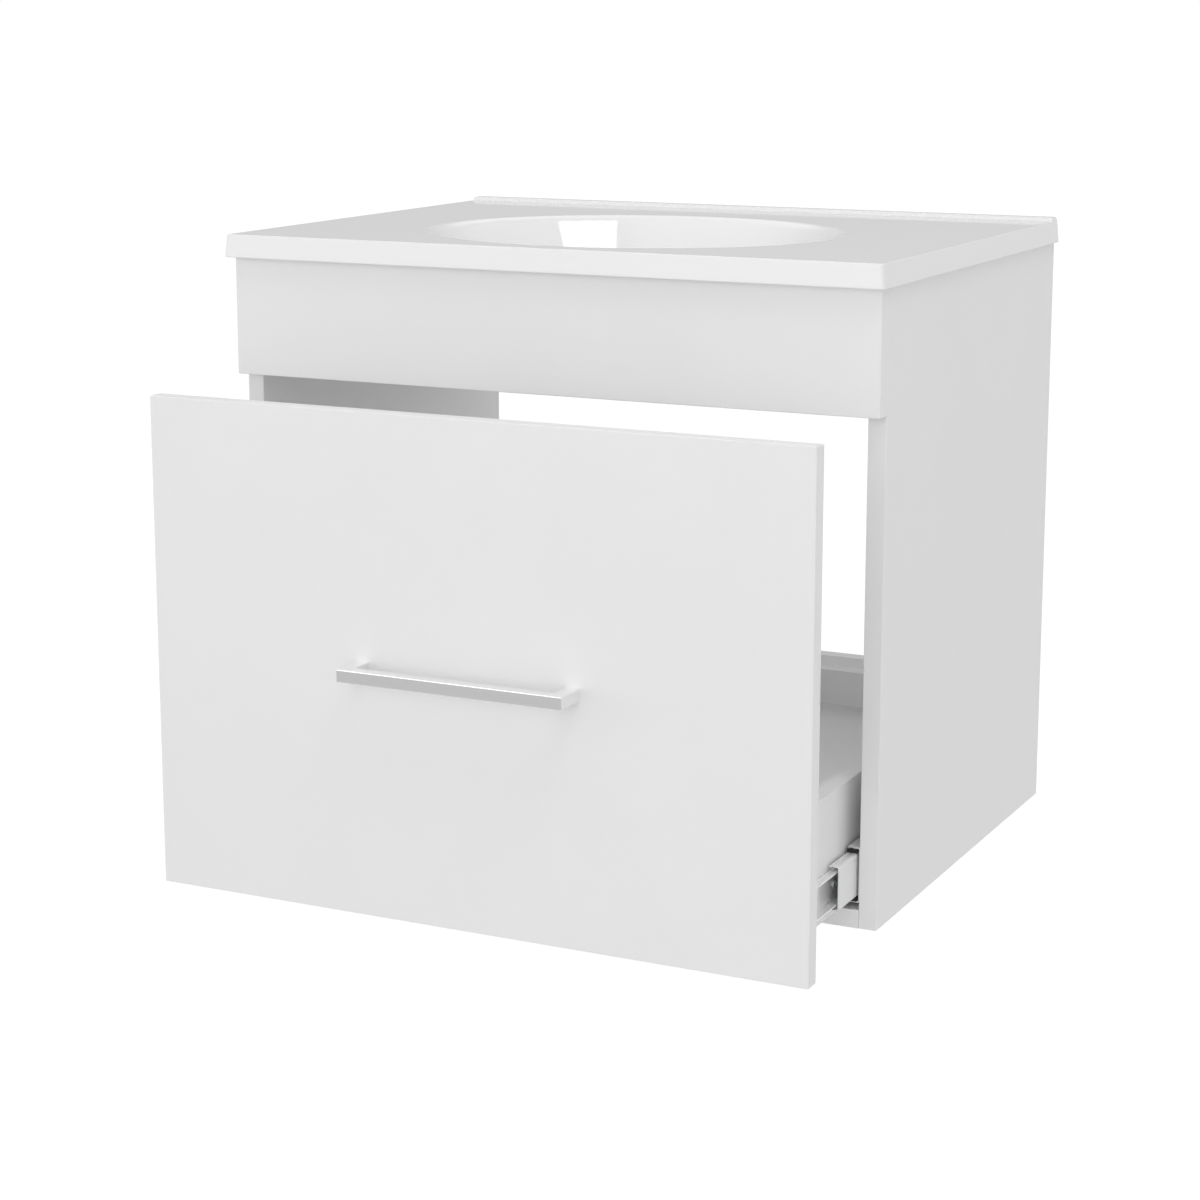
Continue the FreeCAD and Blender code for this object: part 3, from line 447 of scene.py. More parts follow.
@dataclass(frozen=True)
class BasinTop:
    """The moulded basin top: a drafted slab with an oval bowl, a bead along the wall and a drain, in mm.

    Attributes:
        nodes: Nodes of the casting and the drain.
        half_width: Half the slab's width at its foot.
        depth: The slab's depth at its foot.
        foot: Height of the slab's foot.
        deck: Height of the deck.
        draft_deg: Lean of the slab's outer wall.
        corner: Radius of the slab's upright corners.
        edge: Radius of the deck's outer edge.
        foot_edge: Size of the broken edge at the foot.
        lip_width: Width of the lip that rests on the boards.
        underside: Height of the hollow's ceiling.
        bowl_y: Place of the drain's axis, on the middle plane.
        bowl_half: Half the bowl's width at the deck.
        oval: The bowl's depth from front to back, as a share of its width.
        bowl_depth: Fall from the deck to the drain.
        bowl_wall: Thickness of the bowl.
        rim_edge: Radius of the tight edge at the deck.
        rim_round: Radius of the round below it.
        rim_deg: Slope between the two.
        wall_deg: Slope of the bowl's straight wall.
        floor_round: Radius between wall and floor.
        floor_deg: Slope of the floor.
        drain: Radius of the drain's bore.
        seat: Radius of the seat of the drain's flange.
        seat_z: Height of that seat.
        boss: Radius of the boss round the bore.
        boss_foot: Height of the boss's foot.
        bead_half: Half the bead's length.
        bead_back: Y of the bead's back.
        bead_front: Y of its front.
        bead_height: Its height above the deck.
        bead_edge: Radius of its long edges.
        bead_cove: Radius of the fillet at its foot.
        bead_nose: Radius of its two top corners.
        bead_root: How far it is sunk into the deck.
        bead_lift: How far its fillet ends above the deck.
        even_reach: Reach within which columns are evenly spread.
        circle_fade: Reach over which ovals turn into the drain's circle.
        ring_gap: Least gap between two rings.
        lip_corner: Radius of the hollow's corners.
        lip_gap: Least gap between the lip and the bowl's skin.
        edge_guard: Width of the band that keeps an edge crisp.
        foot_guard: Height of the row that keeps the foot's edge crisp.
        foot_share: Share of the foot's broken edge at its middle row.
        least_corner: Least radius of an upright corner.
        deck_shares: Where rings lie between the bowl and the slab's edge.
        hollow_shares: Where rings lie between the lip and the bowl's skin.
        rim_steps: Chords of the tight edge and of the round.
        wall_steps: Rows of the straight wall.
        round_steps: Chords of the floor's round.
        floor_steps: Rows of the floor.
        edge_steps: Chords of the deck's outer edge.
        bead_steps: Stations along the bead.
        bead_turns: Chords of its edges and of its nose.
        long_steps: Steps along the slab's front and back.
        short_steps: Steps along its sides.
        corner_steps: Chords of an upright corner.
    """

    nodes: Tuple[str, ...] = ("basin_top", "drain_flange", "drain_gasket", "drain_washer", "drain_lock_nut")
    half_width: float = 290.0
    depth: float = 442.5
    foot: float = 50.0
    deck: float = 69.0
    draft_deg: float = 4.5
    corner: float = 2.0
    edge: float = 1.2
    foot_edge: float = 0.4
    lip_width: float = 27.0
    underside: float = 59.0
    bowl_y: float = -260.0
    bowl_half: float = 181.0
    oval: float = 318.0 / 362.0
    bowl_depth: float = 100.0
    bowl_wall: float = 9.0
    rim_edge: float = 5.0
    rim_round: float = 11.0
    rim_deg: float = 10.0
    wall_deg: float = 58.0
    floor_round: float = 70.0
    floor_deg: float = 5.0
    drain: float = 18.0
    seat: float = 31.0
    seat_z: float = -34.5
    boss: float = 38.0
    boss_foot: float = -43.5
    bead_half: float = 288.3
    bead_back: float = -3.2
    bead_front: float = -16.2
    bead_height: float = 3.3
    bead_edge: float = 0.7
    bead_cove: float = 0.4
    bead_nose: float = 2.6
    bead_root: float = 1.2
    bead_lift: float = 0.02
    even_reach: float = 90.0
    circle_fade: float = 40.0
    ring_gap: float = 2.0
    lip_corner: float = 6.0
    lip_gap: float = 3.0
    edge_guard: float = 0.8
    foot_guard: float = 1.2
    foot_share: float = 0.3
    least_corner: float = 0.6
    deck_shares: Tuple[float, ...] = (0.04, 0.2, 0.45, 0.7, 0.9, 0.97)
    hollow_shares: Tuple[float, ...] = (0.02, 0.98)
    rim_steps: Tuple[int, int] = (4, 16)
    wall_steps: int = 10
    round_steps: int = 22
    floor_steps: int = 16
    edge_steps: int = 8
    bead_steps: int = 24
    bead_turns: Tuple[int, int] = (5, 9)
    long_steps: int = 84
    short_steps: int = 64
    corner_steps: int = 9

    def outline(self, inset: float, radius: float) -> Array:
        """The slab's rounded rectangle, seen from above and anticlockwise.

        Four quarter circles stand on the corner centres, and straight rows of points join them.

        Args:
            inset: Distance inside the slab's foot.
            radius: Radius of the corners.

        Returns:
            Points by 2.
        """
        wide = self.half_width - inset - radius
        middle = -self.depth / 2
        deep = self.depth / 2 - inset - radius
        parts: List[Array] = []
        for corner, (across, back) in enumerate(((1, 1), (-1, 1), (-1, -1), (1, -1))):
            turn = np.radians(90 * corner + np.linspace(0, 90, self.corner_steps + 1))
            centre = np.array([across * wide, middle + back * deep])
            parts.append(centre + radius * np.stack([np.cos(turn), np.sin(turn)], -1))
        joined: List[Array] = []
        for corner, arc in enumerate(parts):
            steps = self.long_steps if corner % 2 == 0 else self.short_steps
            share = (np.arange(1, steps) / steps)[:, None]
            joined += [arc, arc[-1] + share * (parts[(corner + 1) % 4][0] - arc[-1])]
        return np.concatenate(joined)

    def section(self) -> Tuple[Array, Array, Array]:
        """Slope, radius and fall along the bowl's section, from the deck to the drain.

        The slope turns from level to the rim's over a tight edge, on to the wall's over the rim round,
        stays for a straight wall, turns back to the floor's over the floor round and stays to the
        drain. The two straight lengths make the section as long and as deep as the bowl.

        Returns:
            The slope in radians, the radius and the fall at each point of the section.
        """
        arcs = (turn_round(0, self.rim_deg, self.rim_edge, self.rim_steps[0]),
                turn_round(self.rim_deg, self.wall_deg, self.rim_round, self.rim_steps[1]),
                turn_round(self.wall_deg, self.floor_deg, self.floor_round, self.round_steps))
        slopes = np.concatenate([arc[0] for arc in arcs])
        lengths = np.concatenate([arc[1] for arc in arcs])
        wall, floor = math.radians(self.wall_deg), math.radians(self.floor_deg)
        start = self.bowl_half + self.rim_edge * math.tan(math.radians(self.rim_deg) / 2)
        left = [start - self.drain - (lengths * np.cos(slopes)).sum(),
                self.bowl_depth - (lengths * np.sin(slopes)).sum()]
        ways = [[math.cos(wall), math.cos(floor)], [math.sin(wall), math.sin(floor)]]
        straight = np.linalg.solve(ways, left)
        runs = [np.full(steps, run / steps)
                for steps, run in zip((self.wall_steps, self.floor_steps), straight)]
        slope = np.concatenate([arcs[0][0], arcs[1][0], np.full_like(runs[0], wall), arcs[2][0],
                                np.full_like(runs[1], floor)])
        length = np.concatenate([arcs[0][1], arcs[1][1], runs[0], arcs[2][1], runs[1]])
        radius = start - np.concatenate([[0.0], np.cumsum(length * np.cos(slope))])
        fall = np.concatenate([[0.0], np.cumsum(length * np.sin(slope))])
        at_ends = np.concatenate([[0.0], (slope[1:] + slope[:-1]) / 2, [floor]])
        return at_ends, radius, fall

    def turns(self) -> Tuple[Array, Array]:
        """Angles of the columns on the oval.

        Returns:
            The angles that face the slab's outline, and the same number evenly spread.
        """
        rim = self.outline(self.edge + self.ring_gap, self.corner)
        facing = np.unwrap(np.arctan2((rim[:, 1] - self.bowl_y) / self.oval, rim[:, 0]))
        return facing, facing[0] + 2 * np.pi * np.arange(len(facing)) / len(facing)

    def rings(self, radius: Array, turn: Array, height: Array) -> Array:
        """Oval rings about the drain: x = r cos t, y = oval r sin t.

        Args:
            radius: Reach of the rings along X.
            turn: Angle of the columns.
            height: Height of the points.

        Returns:
            Rings by columns by 3.
        """
        x = radius * np.cos(turn)
        y = self.bowl_y + self.oval * radius * np.sin(turn)
        return np.stack(np.broadcast_arrays(x, y, height), -1)

    def round_ring(self, radius: float, turn: Array, height: float) -> Array:
        """One circular ring about the drain.

        Args:
            radius: Radius of the ring.
            turn: Angle of the columns.
            height: Height of the ring.

        Returns:
            1 by columns by 3.
        """
        x, y = radius * np.cos(turn), self.bowl_y + radius * np.sin(turn)
        return np.stack([x, y, np.full_like(turn, height)], -1)[None]

    def bowl_inside(self) -> Array:
        """Rings of the bowl from the drain seat up to the deck.

        Each ring is an oval of the section. Close to the seat the ovals give way to its circle: the
        ring's reach shrinks to the circle's, and its height is read off the section at that reach.

        Returns:
            Rings by columns by 3.
        """
        _, radius, fall = self.section()
        facing, even = self.turns()
        inner = self.seat / self.oval + self.ring_gap
        reach = np.concatenate([[inner], radius[::-1][radius[::-1] > inner + self.ring_gap]])[:, None]
        share = np.clip((radius[0] - reach) / (radius[0] - self.even_reach), 0.0, 1.0)
        turn = (1 - share) * facing + share * even
        span = np.hypot(np.cos(turn), self.oval * np.sin(turn))
        fade = np.clip((reach - inner) / self.circle_fade, 0.0, 1.0)
        reach = reach - (inner - self.seat / span) * (1 - fade)
        return self.rings(reach, turn, self.deck - np.interp(reach, radius[::-1], fall[::-1]))

    def bowl_outside(self) -> Array:
        """Rings of the bowl's outer skin from the deck's underside down to the drain boss.

        The section is pushed out along its normal by the wall's thickness.

        Returns:
            Rings by columns by 3.
        """
        slope, radius, fall = self.section()
        facing, even = self.turns()
        out = radius + self.bowl_wall * np.sin(slope)
        low = fall + self.bowl_wall * np.cos(slope)
        start = np.interp(self.deck - self.underside, low, out)
        inner = self.boss / self.oval + self.ring_gap
        between = (low > self.deck - self.underside + self.ring_gap / 2) & (out > inner + self.ring_gap)
        reach = np.concatenate([[start], out[between], [inner]])[:, None]
        share = np.clip((start - reach) / (start - self.even_reach), 0.0, 1.0)
        turn = (1 - share) * facing + share * even
        span = np.hypot(np.cos(turn), self.oval * np.sin(turn))
        fade = np.clip((reach - inner) / self.circle_fade, 0.0, 1.0)
        reach = reach - (inner - self.boss / span) * (1 - fade)
        return self.rings(reach, turn, self.deck - np.interp(reach, out[::-1], low[::-1]))

    def slab_outside(self) -> Array:
        """Rings of the slab from the deck's edge round, down the drafted wall and under the lip.

        The inset of each ring follows a quarter turn of the edge, then the draft, then the flat foot.

        Returns:
            Rings by columns by 3.
        """
        lean = math.tan(math.radians(self.draft_deg))
        turn = np.radians(np.linspace(90.0, self.draft_deg, self.edge_steps + 1))
        centre_z = self.deck - self.edge
        centre = (centre_z - self.foot) * lean + self.edge / math.cos(math.radians(self.draft_deg))
        heights = list(centre_z + self.edge * np.sin(turn))
        insets = list(centre - self.edge * np.cos(turn))
        for height in (heights[-1] - self.edge_guard, (self.deck + self.foot) / 2,
                       self.foot + self.foot_guard, self.foot + self.foot_edge):
            heights.append(height)
            insets.append((height - self.foot) * lean)
        broken = self.foot_edge * self.foot_share
        heights += [self.foot + broken, self.foot, self.foot]
        insets += [broken, self.foot_edge, self.foot_edge + self.edge_guard]
        rows = []
        for inset, height in zip(insets, heights):
            off_wall = inset - max(height - self.foot, 0.0) * lean
            ring = self.outline(inset, max(self.corner - off_wall, self.least_corner))
            rows.append(np.column_stack([ring, np.full(len(ring), height)]))
        return np.stack(rows)

    def skin(self) -> Array:
        """All rings of the casting, from the drain bore over the bowl, the deck and the lip, and back.

        Deck and hollow ceiling run straight between the rings on either side.

        Returns:
            Rings by columns by 3, the last joining the first.
        """
        facing, even = self.turns()
        bore = np.concatenate([self.round_ring(self.drain, even, self.boss_foot),
                               self.round_ring(self.drain, even, self.seat_z),
                               self.round_ring(self.seat, even, self.seat_z)])
        bowl = self.bowl_inside()
        slab = self.slab_outside()
        share = np.array(self.deck_shares)[:, None, None]
        deck = bowl[-1] + share * (slab[0] - bowl[-1])
        outside = self.bowl_outside()
        inner_edge = self.outline(self.lip_width, self.lip_corner)
        lip = np.column_stack([inner_edge, np.full(len(facing), self.foot)])
        middle = np.array([0.0, self.bowl_y, 0.0])
        reach = np.linalg.norm((lip - middle)[:, :2], axis=1)
        clear = np.linalg.norm((outside[0] - middle)[:, :2], axis=1) + self.lip_gap
        lip[:, :2] = middle[:2] + (lip - middle)[:, :2] * (np.maximum(reach, clear) / reach)[:, None]
        raised = lip + np.array([0.0, 0.0, self.underside - self.foot])
        hollow = raised + np.array(self.hollow_shares)[:, None, None] * (outside[0] - raised)
        boss = self.round_ring(self.boss, even, self.boss_foot)
        rings = [bore, bowl, deck, slab, lip[None], raised[None], hollow, outside, boss]
        return np.concatenate(rings)[:, ::-1]

    def bead(self) -> Array:
        """Rows of the bead: one section along the wall, with rounded top corners at its ends.

        The section has two rounded top edges and a small fillet where its front meets the deck. Within
        the nose's radius of either end, the height above the deck follows a quarter circle.

        Returns:
            Stations by points of the section by 3.
        """
        top = self.deck + self.bead_height
        turn = np.radians(np.linspace(0, 90, self.bead_turns[0] + 1))
        back = np.stack([self.bead_back - self.bead_edge * (1 - np.cos(turn)),
                         top - self.bead_edge * (1 - np.sin(turn))], -1)
        front = np.stack([self.bead_front + self.bead_edge * (1 - np.sin(turn)),
                          top - self.bead_edge * (1 - np.cos(turn))], -1)
        cove = np.stack([self.bead_front - self.bead_cove * (1 - np.cos(turn)),
                         self.deck + self.bead_cove * (1 - np.sin(turn)) + self.bead_lift], -1)
        root = self.deck - self.bead_root
        sunk = np.array([[cove[-1, 0], root], [self.bead_back, root]])
        loop = np.concatenate([back, front, cove, sunk])
        turn = np.radians(np.linspace(0, 90, self.bead_turns[1] + 1))
        near = self.bead_half - self.bead_nose * (1 - np.cos(turn))
        between = np.linspace(-1, 1, self.bead_steps + 1)[1:-1]
        x = np.concatenate([-near, between * near[-1], near[::-1]])
        rise = 1 - self.bead_nose / self.bead_height * (1 - np.sin(turn))
        size = np.concatenate([rise, np.ones_like(between), rise[::-1]])[:, None]
        above = loop[:, 1] - self.deck
        z = self.deck + np.where(above > 0, above * size, above)
        return np.stack(np.broadcast_arrays(x[:, None], loop[:, 0], z), -1)

    def build(self, shop: PaintShop) -> None:
        """Dress the drain, make the casting and its bead, and let the casting stand for its CAD node.

        Args:
            shop: Where the pieces get their finishes.
        """
        shop.dress_nodes(self.nodes)
        casting = grid_mesh("basin_casting", self.skin() * MM, wrap_rows=True, wrap_columns=True)
        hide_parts("basin_top")
        shop.dress(casting, Slot.RESIN, Body.CABINET)
        bead = grid_mesh("basin_wall_bead", self.bead() * MM, wrap_columns=True, caps=True)
        shop.dress(bead, Slot.RESIN, Body.CABINET)


@dataclass(frozen=True)
class Screw:
    """A screw with a cross recess and a rolled thread, in mm.

    Attributes:
        head: Radius of the head.
        cap: Height of a pan head, or 0 for a countersunk one.
        shank: Radius over the thread.
        length: Length below the seat.
        pitch: Pitch of the thread.
        tip: Length of the point.
        columns: Points round the axis.
        turn_rows: Rows in one turn of the thread.
        recess_arm: Reach of the recess's arms, as a share of the head.
        recess_half: Half their width, as a share of the head.
        recess_depth: Depth of the recess, as a share of the head.
        recess_lean: Width of its sloping walls, as a share of the arms' half width.
        groove: Depth of the thread, as a share of the shank.
        flank: How steeply the groove's sides rise.
        crest: How far they are cut off, which leaves a flat crest.
        runout: Turns over which the thread starts below the head.
        blunt: Radius of the point, as a share of the shank.
        spin: Angle from one screw's recess to the next one's, in radians.
        top_rings: First and last ring over the recess, as shares of the head, and their number.
        rim_rings: Rings at the head's rim, as shares of the head.
    """

    head: float
    cap: float
    shank: float
    length: float
    pitch: float
    tip: float
    columns: int = 40
    turn_rows: int = 6
    recess_arm: float = 0.58
    recess_half: float = 0.15
    recess_depth: float = 0.42
    recess_lean: float = 0.6
    groove: float = 0.22
    flank: float = 2.4
    crest: float = 0.2
    runout: float = 2.0
    blunt: float = 0.08
    spin: float = 2.4
    top_rings: Tuple[float, float, int] = (0.05, 0.8, 18)
    rim_rings: Tuple[float, ...] = (0.86, 0.91, 0.95, 0.98, 0.995, 1.0)

    def recess(self, x: Array, y: Array) -> Array:
        """Depth of the cross recess: two crossed slots whose walls slope down to a flat floor.

        Args:
            x: One coordinate across the axis.
            y: The other one.

        Returns:
            The depth at each point.
        """
        arm, half = self.recess_arm * self.head, self.recess_half * self.head
        x, y = np.abs(x), np.abs(y)
        outside = np.minimum(np.maximum(x - arm, y - half), np.maximum(x - half, y - arm))
        return self.recess_depth * self.head * np.clip(-outside / (self.recess_lean * half), 0.0, 1.0)

    def surface(self) -> Tuple[Array, Array, Array]:
        """Rows of one screw about its axis, from the head's middle to the point.

        A pan head's height falls as the cube root of one less the cube of the radius. Below the head the
        radius is the shank's, cut back by a groove that climbs one pitch in each turn.

        Returns:
            Two coordinates across the axis, and the height above the seat.
        """
        turn = -2 * np.pi * np.arange(self.columns) / self.columns
        share = np.concatenate([np.linspace(*self.top_rings), self.rim_rings])[:, None]
        x, y = self.head * share * np.cos(turn), self.head * share * np.sin(turn)
        top = self.cap * np.cbrt(1 - share ** 3) - self.recess(x, y)
        neck = 0.0 if self.cap else self.shank - self.head
        rows = int((self.length + neck) / self.pitch * self.turn_rows)
        height = np.linspace(neck, -self.length, rows)[:, None]
        climb = np.mod(height / self.pitch + turn / (2 * np.pi), 1.0)
        groove = self.groove * self.shank * np.clip(self.flank * np.abs(climb - 0.5) - self.crest, 0.0, 1.0)
        start = np.clip((neck - height) / (self.runout * self.pitch), 0.0, 1.0)
        point = np.clip((height + self.length) / self.tip, self.blunt, 1.0)
        radius = (self.shank - groove * start) * point
        return (np.concatenate([x, radius * np.cos(turn)]), np.concatenate([y, radius * np.sin(turn)]),
                np.concatenate([top, np.broadcast_to(height, radius.shape)]))

    def drive(self, shop: PaintShop, node: str, body: Body, places: Array, ways: Array) -> None:
        """Set equal screws in place, each turned a little further than the last, and hide the CAD ones.

        Args:
            shop: Where the piece gets its finish.
            node: The CAD node that the screws stand for.
            body: The body that they move with.
            places: The point on each axis where the seat lies, screws by 3.
            ways: The way that each head faces, screws by 3.
        """
        x, y, height = (part[None, ..., None] for part in self.surface())
        across = np.cross((0.0, 0.0, 1.0), ways)
        beside = np.cross(ways, across)
        spin = self.spin * np.arange(len(ways))[:, None]
        first = np.cos(spin) * across + np.sin(spin) * beside
        second = np.cos(spin) * beside - np.sin(spin) * across
        seat, first, second, out = (part[:, None, None] for part in (places, first, second, ways))
        points = seat + x * first + y * second + height * out
        piece = grid_mesh(f"cross_recess_{node}", points * MM, wrap_columns=True, caps=True)
        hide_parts(node)
        shop.dress(piece, Slot.FASTENER, body)


def both_sides(face: float, spots: Sequence[Tuple[float, float]], outward: bool) -> Tuple[Array, Array]:
    """Screw seats on a left face and on the right one that mirrors it.

    Args:
        face: Distance of the faces from the middle plane.
        spots: Y and Z of the seats on one face.
        outward: True if the heads face away from the middle plane.

    Returns:
        The places and the ways that the heads face, screws by 3.
    """
    side = np.repeat([-1.0, 1.0], len(spots))
    places = np.column_stack([side * face, np.tile(np.array(spots), (2, 1))])
    return places, np.outer(side if outward else -side, (1.0, 0.0, 0.0))


@dataclass(frozen=True)
class Drawer:
    """The drawer: its boards and fittings, its handle and its screws, in mm.

    Attributes:
        boards: Nodes of the boards.
        fittings: Nodes of the handle, the cams, bolts and dowels, and the screws.
        front_back: Y of the front's inner face.
        handle_half: Half the distance between the handle's screws.
        handle_level: Height of the handle's screws.
        handle_screw: The screws that hold the handle.
        side_face: Distance of the sides' outer faces from the middle plane.
        side_spots: Y and Z of the screws on one side.
        side_screw: The screws through the sides.
    """

    boards: Tuple[str, ...] = ("drawer_front", "drawer_left_side", "drawer_right_side", "drawer_back",
                               "drawer_bottom")
    fittings: Tuple[str, ...] = ("drawer_cams", "drawer_cam_bolts", "drawer_dowels", "drawer_screws",
                                 "bar_handle", "handle_screws")
    front_back: float = -545.0
    handle_half: float = 92.0
    handle_level: float = -252.5
    handle_screw: Screw = Screw(4.0, 2.4, 2.0, 24.9, 0.7, 0.6)
    side_face: float = 257.8
    side_spots: Tuple[Tuple[float, float], ...] = ((-152.5, -370.5), (-152.5, -348.5), (-485.0, -356.5),
                                                   (-220.0, -356.5))
    side_screw: Screw = Screw(4.5, 0.0, 2.5, 50.0, 2.2, 5.0)

    def build(self, shop: PaintShop) -> None:
        """Dress the boards, the fittings and the handle, and drive the screws.

        Args:
            shop: Where the pieces get their finishes.
        """
        shop.dress_nodes(self.boards + self.fittings)
        seats = np.array([[side * self.handle_half, self.front_back, self.handle_level]
                          for side in (-1.0, 1.0)])
        self.handle_screw.drive(shop, "handle_screws", Body.DRAWER, seats, np.tile((0.0, 1.0, 0.0), (2, 1)))
        sides = both_sides(self.side_face, self.side_spots, True)
        self.side_screw.drive(shop, "drawer_screws", Body.DRAWER, *sides)


@dataclass(frozen=True)
class BallSlides:
    """The two telescopic slides: rolled members, cages, balls, guides, bumpers and screws, in mm.

    Attributes:
        parts: Ends of the node names that each slide has.
        screws: Nodes of the screws.
        level: Height of the slides' axis.
        drawer_web: Distance of the drawer member's web from the middle plane.
        drawer_holes: Y of the drawer member's screws.
        drawer_screw: The screws into the drawer's sides.
        cabinet_web: Distance of the cabinet member's web from the middle plane.
        cabinet_holes: Y of the cabinet member's screws.
        cabinet_screw: The screws into the cabinet's sides.
    """

    parts: Tuple[str, ...] = ("slide_cabinet_member", "slide_middle_member", "slide_drawer_member",
                              "outer_ball_cage", "outer_balls", "inner_ball_cage", "inner_balls",
                              "slide_front_guides", "slide_rear_bumper")
    screws: Tuple[str, ...] = ("slide_cabinet_screws", "slide_drawer_screws")
    level: float = -412.0
    drawer_web: float = 259.0
    drawer_holes: Tuple[float, ...] = (-507.0, -443.0, -177.0)
    drawer_screw: Screw = Screw(3.5, 2.0, 2.0, 13.0, 1.6, 3.0)
    cabinet_web: float = 269.3
    cabinet_holes: Tuple[float, ...] = (-381.0, -317.0, -51.0)
    cabinet_screw: Screw = Screw(3.5, 0.0, 2.0, 13.0, 1.6, 3.0)

    def build(self, shop: PaintShop) -> None:
        """Dress both slides and drive their screws.

        Args:
            shop: Where the pieces get their finishes.
        """
        shop.dress_nodes([f"{side}_{part}" for side in ("left", "right") for part in self.parts])
        shop.dress_nodes(self.screws)
        drawer = both_sides(self.drawer_web, [(hole, self.level) for hole in self.drawer_holes], True)
        self.drawer_screw.drive(shop, "slide_drawer_screws", Body.DRAWER, *drawer)
        cabinet = both_sides(self.cabinet_web, [(hole, self.level) for hole in self.cabinet_holes], False)
        self.cabinet_screw.drive(shop, "slide_cabinet_screws", Body.CABINET, *cabinet)


@dataclass(frozen=True)
class Lamp:
    """A soft box that points at the object.

    Attributes:
        name: Its name.
        place: Its place, in metres.
        watts: Its power.
        wide: Its width, in metres.
        high: Its height, in metres.
        use: What it acts on.
    """

    name: str
    place: Tuple[float, float, float]
    watts: float
    wide: float
    high: float
    use: LampUse

    def hang(self, aim: Vector) -> None:
        """Put the lamp in the scene.

        Args:
            aim: The point that it faces.
        """
        data = bpy.data.lights.new(self.name, "AREA")
        data.shape = "RECTANGLE"
        data.size = self.wide
        data.size_y = self.high
        data.energy = self.watts
        lamp = bpy.data.objects.new(self.name, data)
        lamp.location = self.place
        lamp.rotation_mode = "QUATERNION"
        lamp.rotation_quaternion = (aim - Vector(self.place)).to_track_quat("-Z", "Y")
        lamp.visible_diffuse = self.use is not LampUse.MIRRORED
        lamp.visible_glossy = self.use is not LampUse.SOFT
        bpy.context.scene.collection.objects.link(lamp)


